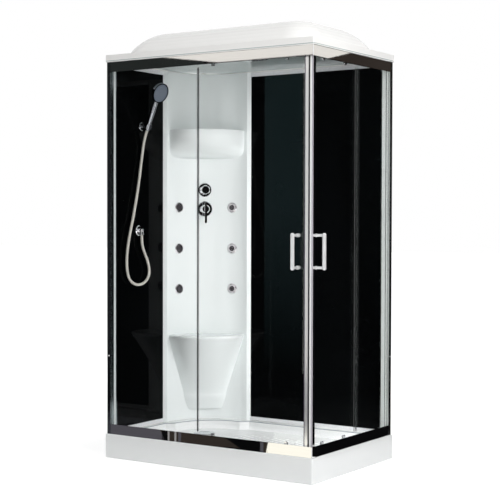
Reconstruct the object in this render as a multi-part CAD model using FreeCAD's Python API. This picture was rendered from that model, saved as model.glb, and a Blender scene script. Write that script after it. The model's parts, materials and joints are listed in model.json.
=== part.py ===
import FreeCAD, Part

import math
import os

from FreeCAD import Placement, Rotation, Vector

# Corner shower cabin with a glazed long front, a glazed right side and black glass on the wall sides.
# The origin is on the floor at the middle of the tray. +X runs right along the long front,
# +Y runs to the back wall and +Z is up. All lengths are millimetres.

# Cabin sizes
cabin_length = 1200.0
cabin_width = 800.0
tray_height = 122.0
frame_top = 1985.0
roof_rim_height = 35.0
dome_height = 110.0
frame_inset = 6.0
wall_panel_inset = 20.0
wall_back_inset = 8.0
overrun = 5.0
hair_gap = 0.3

# Tray
tray_wall = 5.0
skirt_clearance = 2.0
tray_edge_radius = 4.0
tray_corner_radius = 8.0
wall_lip_height = 40.0
basin_depth = 44.0
basin_front_margin = 66.0
basin_wall_margin = 46.0
basin_corner_radius = 80.0
basin_floor_radius = 22.0
basin_rim_radius = 6.0
column_ledge = 48.0
column_flange_ledge = 25.0

# Drain
drain_from_beam = 150.0
drain_y = 110.0
drain_hole_radius = 43.0
drain_recess_radius = 58.0
drain_recess_depth = 2.0
drain_cover_radius = 56.5
drain_cover_lip = 2.0
drain_cover_height = 7.0
drain_gap = 3.0
waste_flange_radius = 54.0
waste_flange_thickness = 2.0
waste_neck_radius = 42.5
waste_bore_radius = 38.0
waste_lip_radius = 33.0
waste_lip_thickness = 3.0
cover_ring_radius = 37.5
cover_ring_wall = 3.0
cover_ring_drop = 9.0
cover_slot_width = 16.0
trap_bottom = 3.0
trap_wall = 4.0
trap_cup_radius = 48.0
trap_collar_radius = 56.0
trap_collar_drop = 12.0
trap_floor = 5.0
waste_tube_radius = 21.5
waste_tube_lift = 0.5
waste_pipe_radius = 20.0
waste_pipe_wall = 3.0
waste_pipe_inset = 2.0
waste_spigot_length = 40.0

# Steel frame and feet under the tray
frame_tube = 25.0
frame_tube_wall = 1.5
frame_end_inset = 60.0
frame_side_inset = 60.0
frame_beam_stub = 40.0
frame_cross_stub = 70.0
foot_radius = 25.0
foot_top_radius = 19.0
foot_edge = 3.0
foot_height = 8.0
stud_radius = 5.0
stud_top = 60.0
stud_clearance = 0.5
nut_flats = 17.0
nut_height = 8.0
nut_clearance = 0.05

# Aluminium rails
rail_height = 50.0
rail_wall = 2.0
rail_depth = 42.0
rail_lip_height = 10.0
rail_divider_depth = 12.5
rail_divider_height = 20.0
track_depth = 30.0
bottom_track_height = 19.0
top_track_drop = 28.0
top_skirt_drop = 41.0

# Wall posts
post_width = 22.0
post_depth = 50.0
post_wall = 2.0
post_end_gap = 0.3
post_groove_width = 4.0
post_groove_depth = 0.8
post_groove_pitch = 9.0
post_screw_height = 516.0
screw_head_radius = 4.0
screw_head_height = 1.5
screw_shank_radius = 1.7
screw_shank_length = 8.0

# Glass
glass_thickness = 5.0
fixed_glass_depth = 6.0
door_glass_depth = 19.0
glass_top_gap = 1.0
glass_grip = 7.0
front_fixed_end = 554.0
side_fixed_end = 358.0
door_glass_clearance = 4.0
door_glass_top_drop = 23.0
bolt_hole_radius = 3.4

# Doors. The rollers are given from a door's trailing end and from its closing end.
front_door_overlap = 14.0
front_roller_trail = 90.0
front_roller_lead = 118.0
side_door_overlap = 32.0
side_roller_trail = 128.0
side_roller_lead = 96.0
closing_setback = 31.0
closing_width = 22.0
closing_depth = 11.0
closing_front = 16.0
closing_overlap = 15.0
closing_end_gap = 23.0
magnet_front = 15.5
magnet_back = 28.0
magnet_gap = 0.3
magnet_seat = 2.0
seal_end_gap = 12.0
seal_wall = 1.5
seal_grip = 8.0
seal_fin = 2.0
seal_running_gap = 0.8

# Rollers
wheel_radius = 10.0
wheel_groove_radius = 8.8
wheel_width = 7.0
wheel_side_gap = 0.5
wheel_track_gap = 0.25
axle_radius = 2.5
axle_clearance = 0.05
clip_radius = 4.0
clip_thickness = 1.5
roller_cap_radius = 9.0
roller_cap_thickness = 3.5
roller_bolt_radius = 3.0
roller_arm_thickness = 2.2
roller_arm_width = 16.0

# Door handles
front_handle_setback = 91.0
side_handle_setback = 63.0
handle_height = 1055.0
handle_length = 168.0
handle_radius = 9.0
handle_tip = 5.0
handle_tip_radius = 5.0
handle_post_spacing = 147.0
handle_post_radius = 6.5
handle_rod_radius = 4.0
handle_collar_radius = 8.5
handle_collar_length = 4.0
handle_cap_radius = 9.0
handle_cap_length = 8.0
handle_standoff = 43.5

# Wall panels and their edge trims
panel_end_gap = 0.5
trim_height = 21.0
trim_front = 3.0
trim_back = 5.0
trim_bed = 13.0
trim_gap = 0.3

# Back column
column_wall = 5.0
column_left_reach = 325.0
column_back_reach = 345.0
column_flange = 22.0
column_hollow = 98.0
column_end_gap = 0.3
seat_height = 586.0
seat_foot_height = 180.0
seat_half_width = 203.0
seat_foot_half_width = 96.0
seat_bulge = 130.0
seat_foot_bulge = -72.0
seat_sweep_share = 1.35
seat_lip = 12.0
seat_lip_round = 9.0
shelf_above_diverter = 316.0
shelf_drop = 149.0
shelf_half_width = 203.0
shelf_squareness_share = 8.0
shelf_bulge = 88.0
shelf_recess = 18.0
shelf_rim = 14.0
form_sink = 3.0

# Corner joints of the frame
bracket_arm = 60.0
bracket_thickness = 6.0
bracket_side_gap = 0.3

# Roof
roof_wall = 4.0
roof_bearing_width = 30.0
roof_corner_radius = 6.0
dome_inset_x = 55.0
dome_inset_y = 40.0
dome_run_x = 118.0
dome_run_y = 150.0
dome_base_radius = 130.0
dome_top_radius = 65.0
dome_roundness = 1.4
dome_steps = 8
ceiling_thickness = 3.0
ceiling_edge_gap = 1.0
ceiling_hole_gap = 1.5

# Valve, diverter and pipes behind the column
mixer_height = 1258.0
diverter_rise = 103.0
mixer_plate_radius = 42.0
mixer_plate_height = 7.0
mixer_cap_radius = 23.0
mixer_cap_height = 34.0
mixer_neck_radius = 17.0
mixer_neck_height = 9.0
lever_above = 37.0
lever_below = 76.0
lever_width = 12.0
lever_thickness = 7.0
lever_gap = 0.5
lever_boss_radius = 7.0
diverter_plate_radius = 37.5
diverter_plate_height = 6.0
diverter_knob_radius = 25.0
diverter_knob_height = 30.0
diverter_grip_depth = 3.0
diverter_grip_radius = 9.0
diverter_grips = 6
plate_seat = 3.4
plate_wall = 2.5
mixer_stem_radius = 14.0
mixer_hole_radius = 24.0
diverter_stem_radius = 10.0
diverter_hole_radius = 18.0
spindle_radius = 6.0
spindle_length = 12.0
spindle_clearance = 0.05
valve_depth = 38.0
valve_body_radius = 22.0
valve_margin = 24.0
inlet_spacing = 150.0
inlet_radius = 10.4
inlet_length = 20.0
inlet_arm_radius = 12.0
inlet_boss_radius = 13.5
inlet_boss_reach = 14.0
pipe_radius = 8.0
riser_bend_radius = 40.0
rain_pipe_rise = 45.0

# Body jets
jet_row_rises = (-429.0, -212.0, 8.0)
jet_offset = 145.0
jet_hole_radius = 17.0
jet_bezel_radius = 27.0
jet_bezel_height = 5.0
jet_face_setback = 2.0
jet_nozzle_face_radius = 13.0
jet_nozzle_ridge_radius = 14.2
jet_nozzle_ridge_depth = 5.0
jet_nozzle_tail_radius = 8.0
jet_nozzle_length = 14.0
jet_mouth_radius = 5.0
jet_mouth_depth = 3.0
jet_body_radius = 16.0
jet_body_length = 34.0
jet_tail_gap = 1.6
jet_body_bore = jet_nozzle_ridge_radius + hair_gap

# Overhead shower, flush under the ceiling sheet
rain_x = 80.0
rain_y = -120.0
rain_head_radius = 90.0
rain_head_thickness = 6.0
rain_head_edge = 2.5
rain_neck_radius = 10.0
rain_boss_radius = 16.0

# Hand shower on the left wall
elbow_y = -158.0
elbow_height = 1143.0
elbow_plate_radius = 26.0
elbow_plate_height = 7.0
elbow_body_radius = 11.0
elbow_reach = 22.0
elbow_drop = 23.0
elbow_nut_radius = 10.0
elbow_tail_radius = 7.0
wall_pipe_radius = 5.5
wall_pipe_inset = 7.5
bracket_plate_radius = 22.0
bracket_plate_height = 8.0
bracket_neck_radius = 8.0
handset_standoff = 54.0
handset_y = -134.0
handset_z = 1700.0
handset_tilt = 21.7
handset_twist = 8.0
holder_radius = 18.0
holder_low = -34.0
holder_high = -10.0
nut_low = -45.0
nut_high = -4.0
nut_low_radius = 9.5
nut_high_radius = 12.6
handle_neck = 128.0
handle_low_radius = 10.5
handle_mid_radius = 13.0
handle_mid = 60.0
handle_neck_radius = 11.5
head_centre_along = 162.0
head_standoff = 16.0
head_radius = 52.0
head_edge = 12.0
head_back = 14.0
head_back_radius = 24.0
head_face_radius = 46.0
head_face_height = 2.5
head_face_recess = 1.5
head_face_gap = 0.2
hose_radius = 7.0
hose_socket = 6.0
hose_first_run = 55.0
hose_last_run = 36.0

tray_floor = tray_height - basin_depth
rail_top = tray_height + rail_height
top_rail_bottom = frame_top - rail_height
roof_rim_top = frame_top + roof_rim_height
diverter_height = mixer_height + diverter_rise
shelf_height = diverter_height + shelf_above_diverter
jet_rows = [mixer_height + rise for rise in jet_row_rises]
half_length = cabin_length / 2
half_width = cabin_width / 2
half_beam = half_length - frame_end_inset
cross_offset = half_beam - frame_beam_stub
drain_x = drain_from_beam - cross_offset
up = Vector(0, 0, 1)


# Basic solids

def block(x0, x1, y0, y1, z0, z1):
    return Part.makeBox(x1 - x0, y1 - y0, z1 - z0, Vector(x0, y0, z0))


def rod(radius, start, direction, length):
    return Part.makeCylinder(radius, length, start, direction)


def outline_face(points):
    return Part.Face(Part.makePolygon(points + [points[0]]))


def prism(points, bottom, top):
    flat = [Vector(x, y, bottom) for x, y in points]
    return outline_face(flat).extrude(up * (top - bottom))


def turned(profile, base, axis):
    """Turn a list of (radius, height) points about an axis that starts at base."""
    points = [Vector(radius, 0, height) for radius, height in profile]
    solid = outline_face(points).revolve(Vector(0, 0, 0), up, 360)
    solid.Placement = Placement(base, Rotation(up, axis))
    return solid


def rounded_wire(half_x, half_y, radius, height):
    """A level rectangle with round corners, four lines and four arcs."""
    edges = []
    for quarter in range(4):
        swap = quarter % 2
        reach = half_y if swap else half_x
        other = half_x if swap else half_y
        turn = Rotation(up, 90 * quarter)
        start = Vector(reach, -other + radius, 0)
        end = Vector(reach, other - radius, 0)
        centre = Vector(reach - radius, other - radius, 0)
        middle = centre + Vector(radius, radius, 0) * math.sqrt(0.5)
        finish = Vector(reach - radius, other, 0)
        line = Part.LineSegment(start, end).toShape()
        corner = Part.Arc(end, middle, finish).toShape()
        for edge in (line, corner):
            edge.Placement = Placement(Vector(0, 0, height), turn)
            edges.append(edge)
    return Part.Wire(edges)


def vertical_edges(shape, test):
    found = []
    for edge in shape.Edges:
        start = edge.Vertexes[0].Point
        end = edge.Vertexes[-1].Point
        upright = abs(start.z - end.z) > hair_gap and start.sub(end).cross(up).Length < hair_gap
        if upright and test(start):
            found.append(edge)
    return found


def save(shape, name):
    shape.exportStep(os.path.join("parts", name + ".step"))
    box = shape.BoundBox
    print(f"{name}: {len(shape.Solids)} solids, {shape.Volume / 1000:.1f} cm3, valid {shape.isValid()},"
          f" z {box.ZMin:.1f} to {box.ZMax:.1f}")


# A glazed face of the cabin. Places on it are given along the face from its wall post, inward
# from the frame's outer face, and in height.

class Face:
    def __init__(self, name, origin, along, inward, length):
        self.name = name
        self.origin = origin
        self.along = along
        self.inward = inward
        self.length = length

    def point(self, u, d, z):
        return self.origin + self.along * u + self.inward * d + up * z

    def bar(self, outline, bottom, top):
        points = [self.point(u, d, bottom) for u, d in outline]
        return outline_face(points).extrude(up * (top - bottom))

    def block(self, u0, u1, d0, d1, bottom, top):
        return self.bar([(u0, d0), (u1, d0), (u1, d1), (u0, d1)], bottom, top)

    def pin(self, radius, u, z, d0, d1):
        return rod(radius, self.point(u, d0, z), self.inward, d1 - d0)

    def extrusion(self, section, u0, u1):
        points = [self.point(u0, d, z) for d, z in section]
        return outline_face(points).extrude(self.along * (u1 - u0))

    def mitre(self):
        """The space past the slanting line that runs inward from the cabin's near corner."""
        reach = post_depth * 2
        outline = [(self.length, 0), (self.length + reach, 0), (self.length + reach, reach),
                   (self.length - reach, reach)]
        outline[0] = (self.length + overrun, -overrun)
        return self.bar(outline, -overrun, roof_rim_top)


front = Face("front", Vector(-half_length + frame_inset, -half_width + frame_inset, 0),
             Vector(1, 0, 0), Vector(0, 1, 0), cabin_length - 2 * frame_inset)
side = Face("side", Vector(half_length - frame_inset, half_width - frame_inset, 0),
            Vector(0, -1, 0), Vector(-1, 0, 0), cabin_width - 2 * frame_inset)
front.fixed_end, side.fixed_end = front_fixed_end, side_fixed_end
front.door_start = front_fixed_end - front_door_overlap
side.door_start = side_fixed_end - side_door_overlap
front.roller_ends = (front_roller_trail, front_roller_lead)
side.roller_ends = (side_roller_trail, side_roller_lead)
front.handle_setback, side.handle_setback = front_handle_setback, side_handle_setback


# The back column stands across the back left corner. Places on it are given along its chord from
# the left wall to the back wall, outward into the cabin, and in height.

left_face = -half_length + wall_panel_inset
back_face = half_width - wall_panel_inset
left_back = -half_length + wall_back_inset
back_back = half_width - wall_back_inset
column_left_y = back_face - column_left_reach
column_back_x = left_face + column_back_reach
column_start = Vector(left_face, column_left_y, 0)
column_end = Vector(column_back_x, back_face, 0)
column_middle = (column_start + column_end) / 2
column_along = (column_end - column_start).normalize()
column_out = column_along.cross(up)
arc_half_chord = (column_end - column_start).Length / 2 - column_flange
arc_radius = (arc_half_chord ** 2 + column_hollow ** 2) / (2 * column_hollow)
arc_centre = column_middle + column_out * (arc_radius - column_hollow)


def column_point(t, n, z):
    return column_middle + column_along * t + column_out * n + up * z


def column_surface(t):
    """How far out the column's hollow front lies at a place along its chord."""
    if abs(t) >= arc_half_chord:
        return 0
    return arc_radius - column_hollow - math.sqrt(arc_radius ** 2 - t ** 2)


def column_normal(t):
    """The direction that points out of the hollow front at a place along the chord."""
    sine = -t / arc_radius
    return column_along * sine + column_out * math.sqrt(1 - sine ** 2)


def column_plan(inset, back_reach):
    """Plan of the column behind its front face, moved back by an inset."""
    start_y = column_left_y + inset
    end_x = column_back_x - inset
    start_t = (start_y - column_middle.y + column_out.y * inset) / column_along.y
    end_t = (end_x - column_middle.x + column_out.x * inset) / column_along.x
    arc_t = math.sqrt((arc_radius + inset) ** 2 - (arc_radius - column_hollow + inset) ** 2)
    corner_x = left_back - back_reach
    corner_y = back_back + back_reach
    start = column_point(start_t, -inset, 0)
    arc_start = column_point(-arc_t, -inset, 0)
    arc_middle = column_point(0, -column_hollow - inset, 0)
    arc_end = column_point(arc_t, -inset, 0)
    end = column_point(end_t, -inset, 0)
    edges = [Part.makeLine(Vector(corner_x, start_y, 0), start), Part.makeLine(start, arc_start),
             Part.Arc(arc_start, arc_middle, arc_end).toShape(), Part.makeLine(arc_end, end),
             Part.makeLine(end, Vector(end_x, corner_y, 0)),
             Part.makeLine(Vector(end_x, corner_y, 0), Vector(corner_x, corner_y, 0)),
             Part.makeLine(Vector(corner_x, corner_y, 0), Vector(corner_x, start_y, 0))]
    return Part.Face(Part.Wire(edges))


def bulge_section(half_width_here, bulge, height, inset):
    """One level slice of a seat or shelf: a bowed front that dies into the hollow column."""
    half = max(half_width_here - inset, inset)
    ends = column_surface(half_width_here) - form_sink - inset
    back = -column_hollow - column_wall - form_sink - inset
    left = column_point(-half, ends, height)
    right = column_point(half, ends, height)
    front_middle = column_point(0, bulge - inset, height)
    back_right = column_point(half, back, height)
    back_left = column_point(-half, back, height)
    edges = [Part.Arc(left, front_middle, right).toShape(), Part.makeLine(right, back_right),
             Part.makeLine(back_right, back_left), Part.makeLine(back_left, left)]
    return Part.Wire(edges)


def seat_form(inset):
    """A seat whose front sweeps back under it to a narrow foot."""
    fall_shares = (0.0, 0.03, 0.08, 0.15, 0.24, 0.34, 0.46, 0.6, 0.78, 1.0)
    body_top = seat_height - seat_lip
    fall = body_top - seat_foot_height - inset
    wires = [bulge_section(seat_half_width - seat_lip_round, seat_bulge - seat_lip_round,
                           seat_height - inset, inset)]
    for share in fall_shares:
        half = seat_half_width + (seat_foot_half_width - seat_half_width) * share
        bulge = seat_foot_bulge + (seat_bulge - seat_foot_bulge) * (1 - share) ** seat_sweep_share
        wires.append(bulge_section(half, bulge, body_top - fall * share, inset))
    return Part.makeLoft(wires, True, inset > 0)


def shelf_form(inset, drop):
    """A bowl with a level top whose lower edge is an arc on the hollow column."""
    fall_shares = (0.0, 0.3, 0.55, 0.75, 0.88, 0.96, 0.99)
    wires = []
    for share in fall_shares:
        depth = drop + (shelf_drop - inset - drop) * share
        part = depth / (shelf_drop - inset)
        half = shelf_half_width * (1 - part ** shelf_squareness_share) ** (1 / shelf_squareness_share)
        bulge = -column_hollow + (shelf_bulge + column_hollow) * math.sqrt(1 - part ** 2)
        wires.append(bulge_section(half, bulge, shelf_height - depth, inset))
    return Part.makeLoft(wires, True, inset > 0)


def shelf_pocket():
    """The shallow tray in the shelf's top, inside its rim."""
    half = shelf_half_width - shelf_rim
    ends = column_surface(half) + form_sink
    bottom = shelf_height - shelf_recess
    left = column_point(-half, ends, bottom)
    right = column_point(half, ends, bottom)
    lip = Part.Arc(left, column_point(0, shelf_bulge - shelf_rim, bottom), right).toShape()
    wall = Part.Arc(right, column_point(0, -column_hollow + form_sink, bottom), left).toShape()
    return Part.Face(Part.Wire([lip, wall])).extrude(up * (shelf_recess + overrun))


def jet_places():
    return [(sign * jet_offset, z) for z in jet_rows for sign in (-1, 1)]


# Tray

basin_low_x = -half_length + basin_wall_margin
basin_high_x = half_length - basin_front_margin
basin_low_y = -half_width + basin_front_margin
basin_high_y = half_width - basin_wall_margin


def basin_face(height):
    """Plan of the basin: a rounded rectangle whose back left corner follows the column."""
    half_x = (basin_high_x - basin_low_x) / 2
    half_y = (basin_high_y - basin_low_y) / 2
    plan = Part.Face(rounded_wire(half_x, half_y, basin_corner_radius, height))
    plan.translate(Vector(basin_low_x + half_x, basin_low_y + half_y, 0))
    reach = cabin_width
    ledge = column_flange_ledge
    corner = outline_face([column_point(-reach, ledge, height), column_point(reach, ledge, height),
                           column_point(reach, -reach, height), column_point(-reach, -reach, height)])
    swing = Part.makeCircle(arc_radius - column_ledge, arc_centre + up * height)
    corner = corner.cut(Part.Face(Part.Wire(swing)))
    return plan.cut(corner).Faces[0]


def bottom_edges(shape, height):
    return [edge for edge in shape.Edges
            if abs(edge.BoundBox.ZMin - height) < hair_gap and abs(edge.BoundBox.ZMax - height) < hair_gap]


def inside_basin(box):
    return (box.XMin > basin_low_x - hair_gap and box.XMax < basin_high_x + hair_gap
            and box.YMin > basin_low_y - hair_gap and box.YMax < basin_high_y + hair_gap)


def make_tray():
    outer = block(-half_length, half_length, -half_width, half_width, skirt_clearance, tray_height)
    outer = outer.makeFillet(tray_corner_radius, vertical_edges(outer, lambda p: p.x > 0 > p.y))
    outer = outer.makeFillet(tray_edge_radius, bottom_edges(outer, tray_height))
    basin = basin_face(tray_floor).extrude(up * (basin_depth + overrun))
    basin = basin.makeFillet(basin_floor_radius, bottom_edges(basin, tray_floor))
    bowl_plan = basin_face(tray_floor - tray_wall).makeOffset2D(tray_wall)
    bowl = bowl_plan.extrude(up * basin_depth)
    bowl = bowl.makeFillet(basin_floor_radius + tray_wall, bottom_edges(bowl, tray_floor - tray_wall))
    hollow = block(-half_length + tray_wall, half_length - tray_wall, -half_width + tray_wall,
                   half_width - tray_wall, skirt_clearance - overrun, tray_height - tray_wall)
    lip_bottom = tray_height - wall_lip_height
    left_gap = block(-half_length - overrun, -half_length + tray_wall, -half_width + tray_wall,
                     half_width + overrun, skirt_clearance - overrun, lip_bottom)
    back_gap = block(-half_length - overrun, half_length - tray_wall, half_width - tray_wall,
                     half_width + overrun, skirt_clearance - overrun, lip_bottom)
    drain = Vector(drain_x, drain_y, 0)
    hole = rod(drain_hole_radius, drain, up, tray_height)
    recess = rod(drain_recess_radius, drain + up * (tray_floor - drain_recess_depth), up, tray_height)
    body = outer.cut([hollow.cut(bowl), basin, left_gap, back_gap, hole, recess]).removeSplitter()
    rim = [edge for edge in bottom_edges(body, tray_height) if inside_basin(edge.BoundBox)]
    return body.makeFillet(basin_rim_radius, rim)


def make_drain():
    drain = Vector(drain_x, drain_y, 0)
    seat = tray_floor - drain_recess_depth
    lip = seat - cover_ring_drop
    flange = turned([(waste_bore_radius, seat + waste_flange_thickness),
                     (waste_flange_radius, seat + waste_flange_thickness), (waste_flange_radius, seat),
                     (waste_neck_radius, seat), (waste_neck_radius, lip - waste_lip_thickness),
                     (waste_lip_radius, lip - waste_lip_thickness), (waste_lip_radius, lip),
                     (waste_bore_radius, lip)], drain, up)
    cover_low = tray_floor + drain_gap
    cover = turned([(0, cover_low), (drain_cover_radius, cover_low),
                    (drain_cover_radius, cover_low + drain_cover_lip),
                    (drain_cover_radius / 2, cover_low + drain_cover_height),
                    (0, cover_low + drain_cover_height)], drain, up)
    ring_bottom = lip + hair_gap
    ring = rod(cover_ring_radius, drain + up * ring_bottom, up, cover_low - ring_bottom)
    ring = ring.cut(rod(cover_ring_radius - cover_ring_wall, drain + up * ring_bottom, up,
                        cover_low - ring_bottom))
    for angle in (0, 90):
        slot = block(-drain_cover_radius, drain_cover_radius, -cover_slot_width / 2, cover_slot_width / 2,
                     ring_bottom + cover_ring_wall, cover_low)
        slot.Placement = Placement(drain, Rotation(up, angle))
        ring = ring.cut(slot)
    return flange, cover.fuse(ring).removeSplitter()


def make_trap():
    drain = Vector(drain_x, drain_y, 0)
    top = tray_floor - tray_wall
    bore = drain_hole_radius
    inner = trap_cup_radius - trap_wall
    cup = turned([(0, trap_bottom), (trap_cup_radius, trap_bottom),
                  (trap_cup_radius, top - trap_collar_drop), (trap_collar_radius, top - trap_collar_drop),
                  (trap_collar_radius, top), (bore, top), (bore, top - trap_collar_drop),
                  (inner, top - trap_collar_drop), (inner, trap_bottom + trap_floor),
                  (0, trap_bottom + trap_floor)], drain, up)
    start = drain + up * (trap_bottom + waste_tube_lift + waste_tube_radius)
    length = half_width - waste_pipe_inset - drain_y
    tube = rod(waste_tube_radius, start, Vector(0, 1, 0), length - waste_spigot_length)
    pipe = tube.fuse(rod(waste_pipe_radius, start, Vector(0, 1, 0), length))
    cavity = rod(inner, drain + up * (trap_bottom + trap_floor), up, top)
    bore_pipe = rod(waste_pipe_radius - waste_pipe_wall, start, Vector(0, 1, 0), length + overrun)
    return cup.fuse(pipe.cut(cavity)).cut(bore_pipe).removeSplitter()


# Steel frame and feet

frame_ceiling = tray_floor - tray_wall
frame_base = frame_ceiling - frame_tube
half_cross = half_width - frame_side_inset
beam_offset = half_cross - frame_cross_stub


def foot_places():
    corners = [(x, y) for x in (-cross_offset, cross_offset) for y in (-beam_offset, beam_offset)]
    return [(0, 0)] + corners


def square_tube(x0, x1, y0, y1):
    return block(x0, x1, y0, y1, frame_base, frame_ceiling)


def make_tray_frame():
    half_tube = frame_tube / 2
    wall = frame_tube_wall
    solids, bores = [], []
    low, high = frame_base + wall, frame_ceiling - wall
    for y in (-beam_offset, beam_offset):
        solids.append(square_tube(-half_beam, half_beam, y - half_tube, y + half_tube))
        bores.append(block(-half_beam - overrun, half_beam + overrun, y - half_tube + wall,
                           y + half_tube - wall, low, high))
    inner = beam_offset - half_tube
    outer = beam_offset + half_tube
    end = half_cross + overrun
    for x in (-cross_offset, 0, cross_offset):
        solids.append(square_tube(x - half_tube, x + half_tube, -half_cross, half_cross))
        for y0, y1 in ((-end, -outer), (-inner, inner), (outer, end)):
            bores.append(block(x - half_tube + wall, x + half_tube - wall, y0, y1, low, high))
    frame = solids[0].fuse(solids[1:]).cut(bores)
    holes = [rod(stud_radius + stud_clearance, Vector(x, y, frame_base - overrun), up, overrun + wall * 2)
             for x, y in foot_places()]
    return frame.cut(holes).removeSplitter()


def make_feet():
    solids = []
    for x, y in foot_places():
        place = Vector(x, y, 0)
        foot = turned([(0, 0), (foot_radius, 0), (foot_radius, foot_edge), (foot_top_radius, foot_height),
                       (stud_radius, foot_height), (stud_radius, stud_top), (0, stud_top)], place, up)
        across = nut_flats / math.sqrt(3)
        corners = [(x + across * math.cos(math.radians(a)), y + across * math.sin(math.radians(a)))
                   for a in range(0, 360, 60)]
        nut = prism(corners, frame_base - nut_height, frame_base)
        nut = nut.cut(rod(stud_radius + nut_clearance, place, up, frame_base))
        solids += [foot, nut]
    return Part.makeCompound(solids)


# Rails, posts and glass

def bottom_section():
    base = tray_height
    half_track = rail_wall / 2
    track_top = base + bottom_track_height
    divider_top = base + rail_divider_height
    floor = base + rail_wall
    return [(0, base), (rail_depth, base), (rail_depth, base + rail_lip_height),
            (rail_depth - rail_wall, base + rail_lip_height), (rail_depth - rail_wall, floor),
            (track_depth + half_track, floor), (track_depth + half_track, track_top),
            (track_depth - half_track, track_top), (track_depth - half_track, floor),
            (rail_divider_depth + rail_wall, floor), (rail_divider_depth + rail_wall, divider_top),
            (rail_divider_depth, divider_top), (rail_divider_depth, floor), (rail_wall, floor),
            (rail_wall, rail_top), (0, rail_top)]


def top_section():
    top = frame_top
    half_track = rail_wall / 2
    web = top - rail_wall
    divider_low = top - rail_divider_height
    skirt = top - top_skirt_drop
    track_low = top - top_track_drop
    return [(0, top), (rail_depth, top), (rail_depth, skirt), (track_depth - half_track, skirt),
            (track_depth - half_track, track_low), (track_depth + half_track, track_low),
            (track_depth + half_track, skirt + rail_wall), (rail_depth - rail_wall, skirt + rail_wall),
            (rail_depth - rail_wall, web), (rail_divider_depth + rail_wall, web),
            (rail_divider_depth + rail_wall, divider_low), (rail_divider_depth, divider_low),
            (rail_divider_depth, web), (rail_wall, web), (rail_wall, top_rail_bottom), (0, top_rail_bottom)]


def make_rail(face, section):
    return face.extrusion(section, post_width, face.length + overrun).cut(face.mitre())


def make_post(face):
    low = tray_height + post_end_gap
    high = frame_top - post_end_gap
    body = face.block(0, post_width, 0, post_depth, low, high)
    core = face.block(post_wall, post_width - post_wall, post_wall, post_depth - post_wall,
                      low - overrun, high + overrun)
    slot = face.block(post_wall, post_width + overrun, fixed_glass_depth, fixed_glass_back,
                      low - overrun, high + overrun)
    cuts = [core, slot]
    depth = fixed_glass_back + post_groove_pitch
    while depth + post_groove_width < post_depth - post_wall:
        cuts.append(face.block(post_width - post_groove_depth, post_width + overrun, depth,
                               depth + post_groove_width, low - overrun, high + overrun))
        depth += post_groove_pitch
    screw_hole = face.pin(screw_shank_radius + hair_gap, post_width / 2, post_screw_height, -overrun,
                          post_wall + overrun)
    return body.cut(cuts + [screw_hole])


def make_post_screws():
    screws = []
    for face in (front, side):
        base = face.point(post_width / 2, 0, post_screw_height)
        head = [(0, screw_head_height), (screw_head_radius / 2, screw_head_height),
                (screw_head_radius, 0), (screw_shank_radius, 0), (screw_shank_radius, -screw_shank_length),
                (0, -screw_shank_length)]
        screws.append(turned(head, base, face.inward * -1))
    return Part.makeCompound(screws)


def make_corner_brackets():
    """Two angle plates that tie the rails together inside the near corner."""
    low = track_depth + rail_wall / 2 + bracket_side_gap
    high = rail_depth - rail_wall - bracket_side_gap
    brackets = []
    floor = tray_height + rail_wall
    ceiling = frame_top - rail_wall
    for bottom, top in ((floor, floor + bracket_thickness), (ceiling - bracket_thickness, ceiling)):
        arms = [face.block(face.length - low - bracket_arm, face.length - low, low, high, bottom, top)
                for face in (front, side)]
        brackets.append(arms[0].fuse(arms[1]).removeSplitter())
    return Part.makeCompound(brackets)


def make_fixed_glass(face):
    return face.block(post_width - glass_grip, face.fixed_end, fixed_glass_depth, fixed_glass_back,
                      tray_height + rail_wall, frame_top - rail_wall - glass_top_gap)


seal_bottom = rail_top + seal_end_gap
seal_top = top_rail_bottom - seal_end_gap
door_glass_back = door_glass_depth + glass_thickness
fixed_glass_back = fixed_glass_depth + glass_thickness


def edge_seal(face, edge, direction, depth, fin_end):
    """A channel over one glass edge with a fin towards the neighbouring pane."""
    inner = edge - direction * seal_grip
    outer = edge + direction * seal_wall
    low, high = sorted((inner, outer))
    back = depth + glass_thickness
    cap = face.block(low, high, depth - seal_wall, back + seal_wall, seal_bottom, seal_top)
    slot_low, slot_high = sorted((inner - direction * overrun, edge))
    cap = cap.cut(face.block(slot_low, slot_high, depth, back, seal_bottom - overrun, seal_top + overrun))
    fin_low, fin_high = sorted((outer - direction * seal_fin, outer))
    depths = sorted((depth + glass_thickness / 2, fin_end))
    fin = face.block(fin_low, fin_high, depths[0], depths[1], seal_bottom, seal_top)
    glass = face.block(slot_low, slot_high, depth, back, seal_bottom, seal_top)
    return cap.fuse(fin.cut(glass)).removeSplitter()


def make_fixed_seals():
    return Part.makeCompound([edge_seal(face, face.fixed_end, 1, fixed_glass_depth,
                                        door_glass_depth - seal_running_gap) for face in (front, side)])


# Doors

closing_low = tray_height + closing_end_gap
closing_high = frame_top - closing_end_gap


def closing_end(face):
    return face.length - closing_setback


def roller_places(face):
    """Roller centre, bolt height and axle height for each of a door's four rollers."""
    lower_axle = tray_height + bottom_track_height + wheel_seat
    upper_axle = frame_top - top_track_drop + wheel_seat
    trail, lead = face.roller_ends
    places = []
    for bolt, axle in ((top_rail_bottom, upper_axle), (rail_top, lower_axle)):
        places += [(u, bolt, axle) for u in (face.door_start + trail, closing_end(face) - lead)]
    return places


groove_share = (rail_wall / 2) / (wheel_width / 2)
wheel_seat = wheel_groove_radius + (wheel_radius - wheel_groove_radius) * groove_share + wheel_track_gap
arm_back = door_glass_back + roller_arm_thickness
wheel_front = track_depth - wheel_width / 2
wheel_back = track_depth + wheel_width / 2


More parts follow.
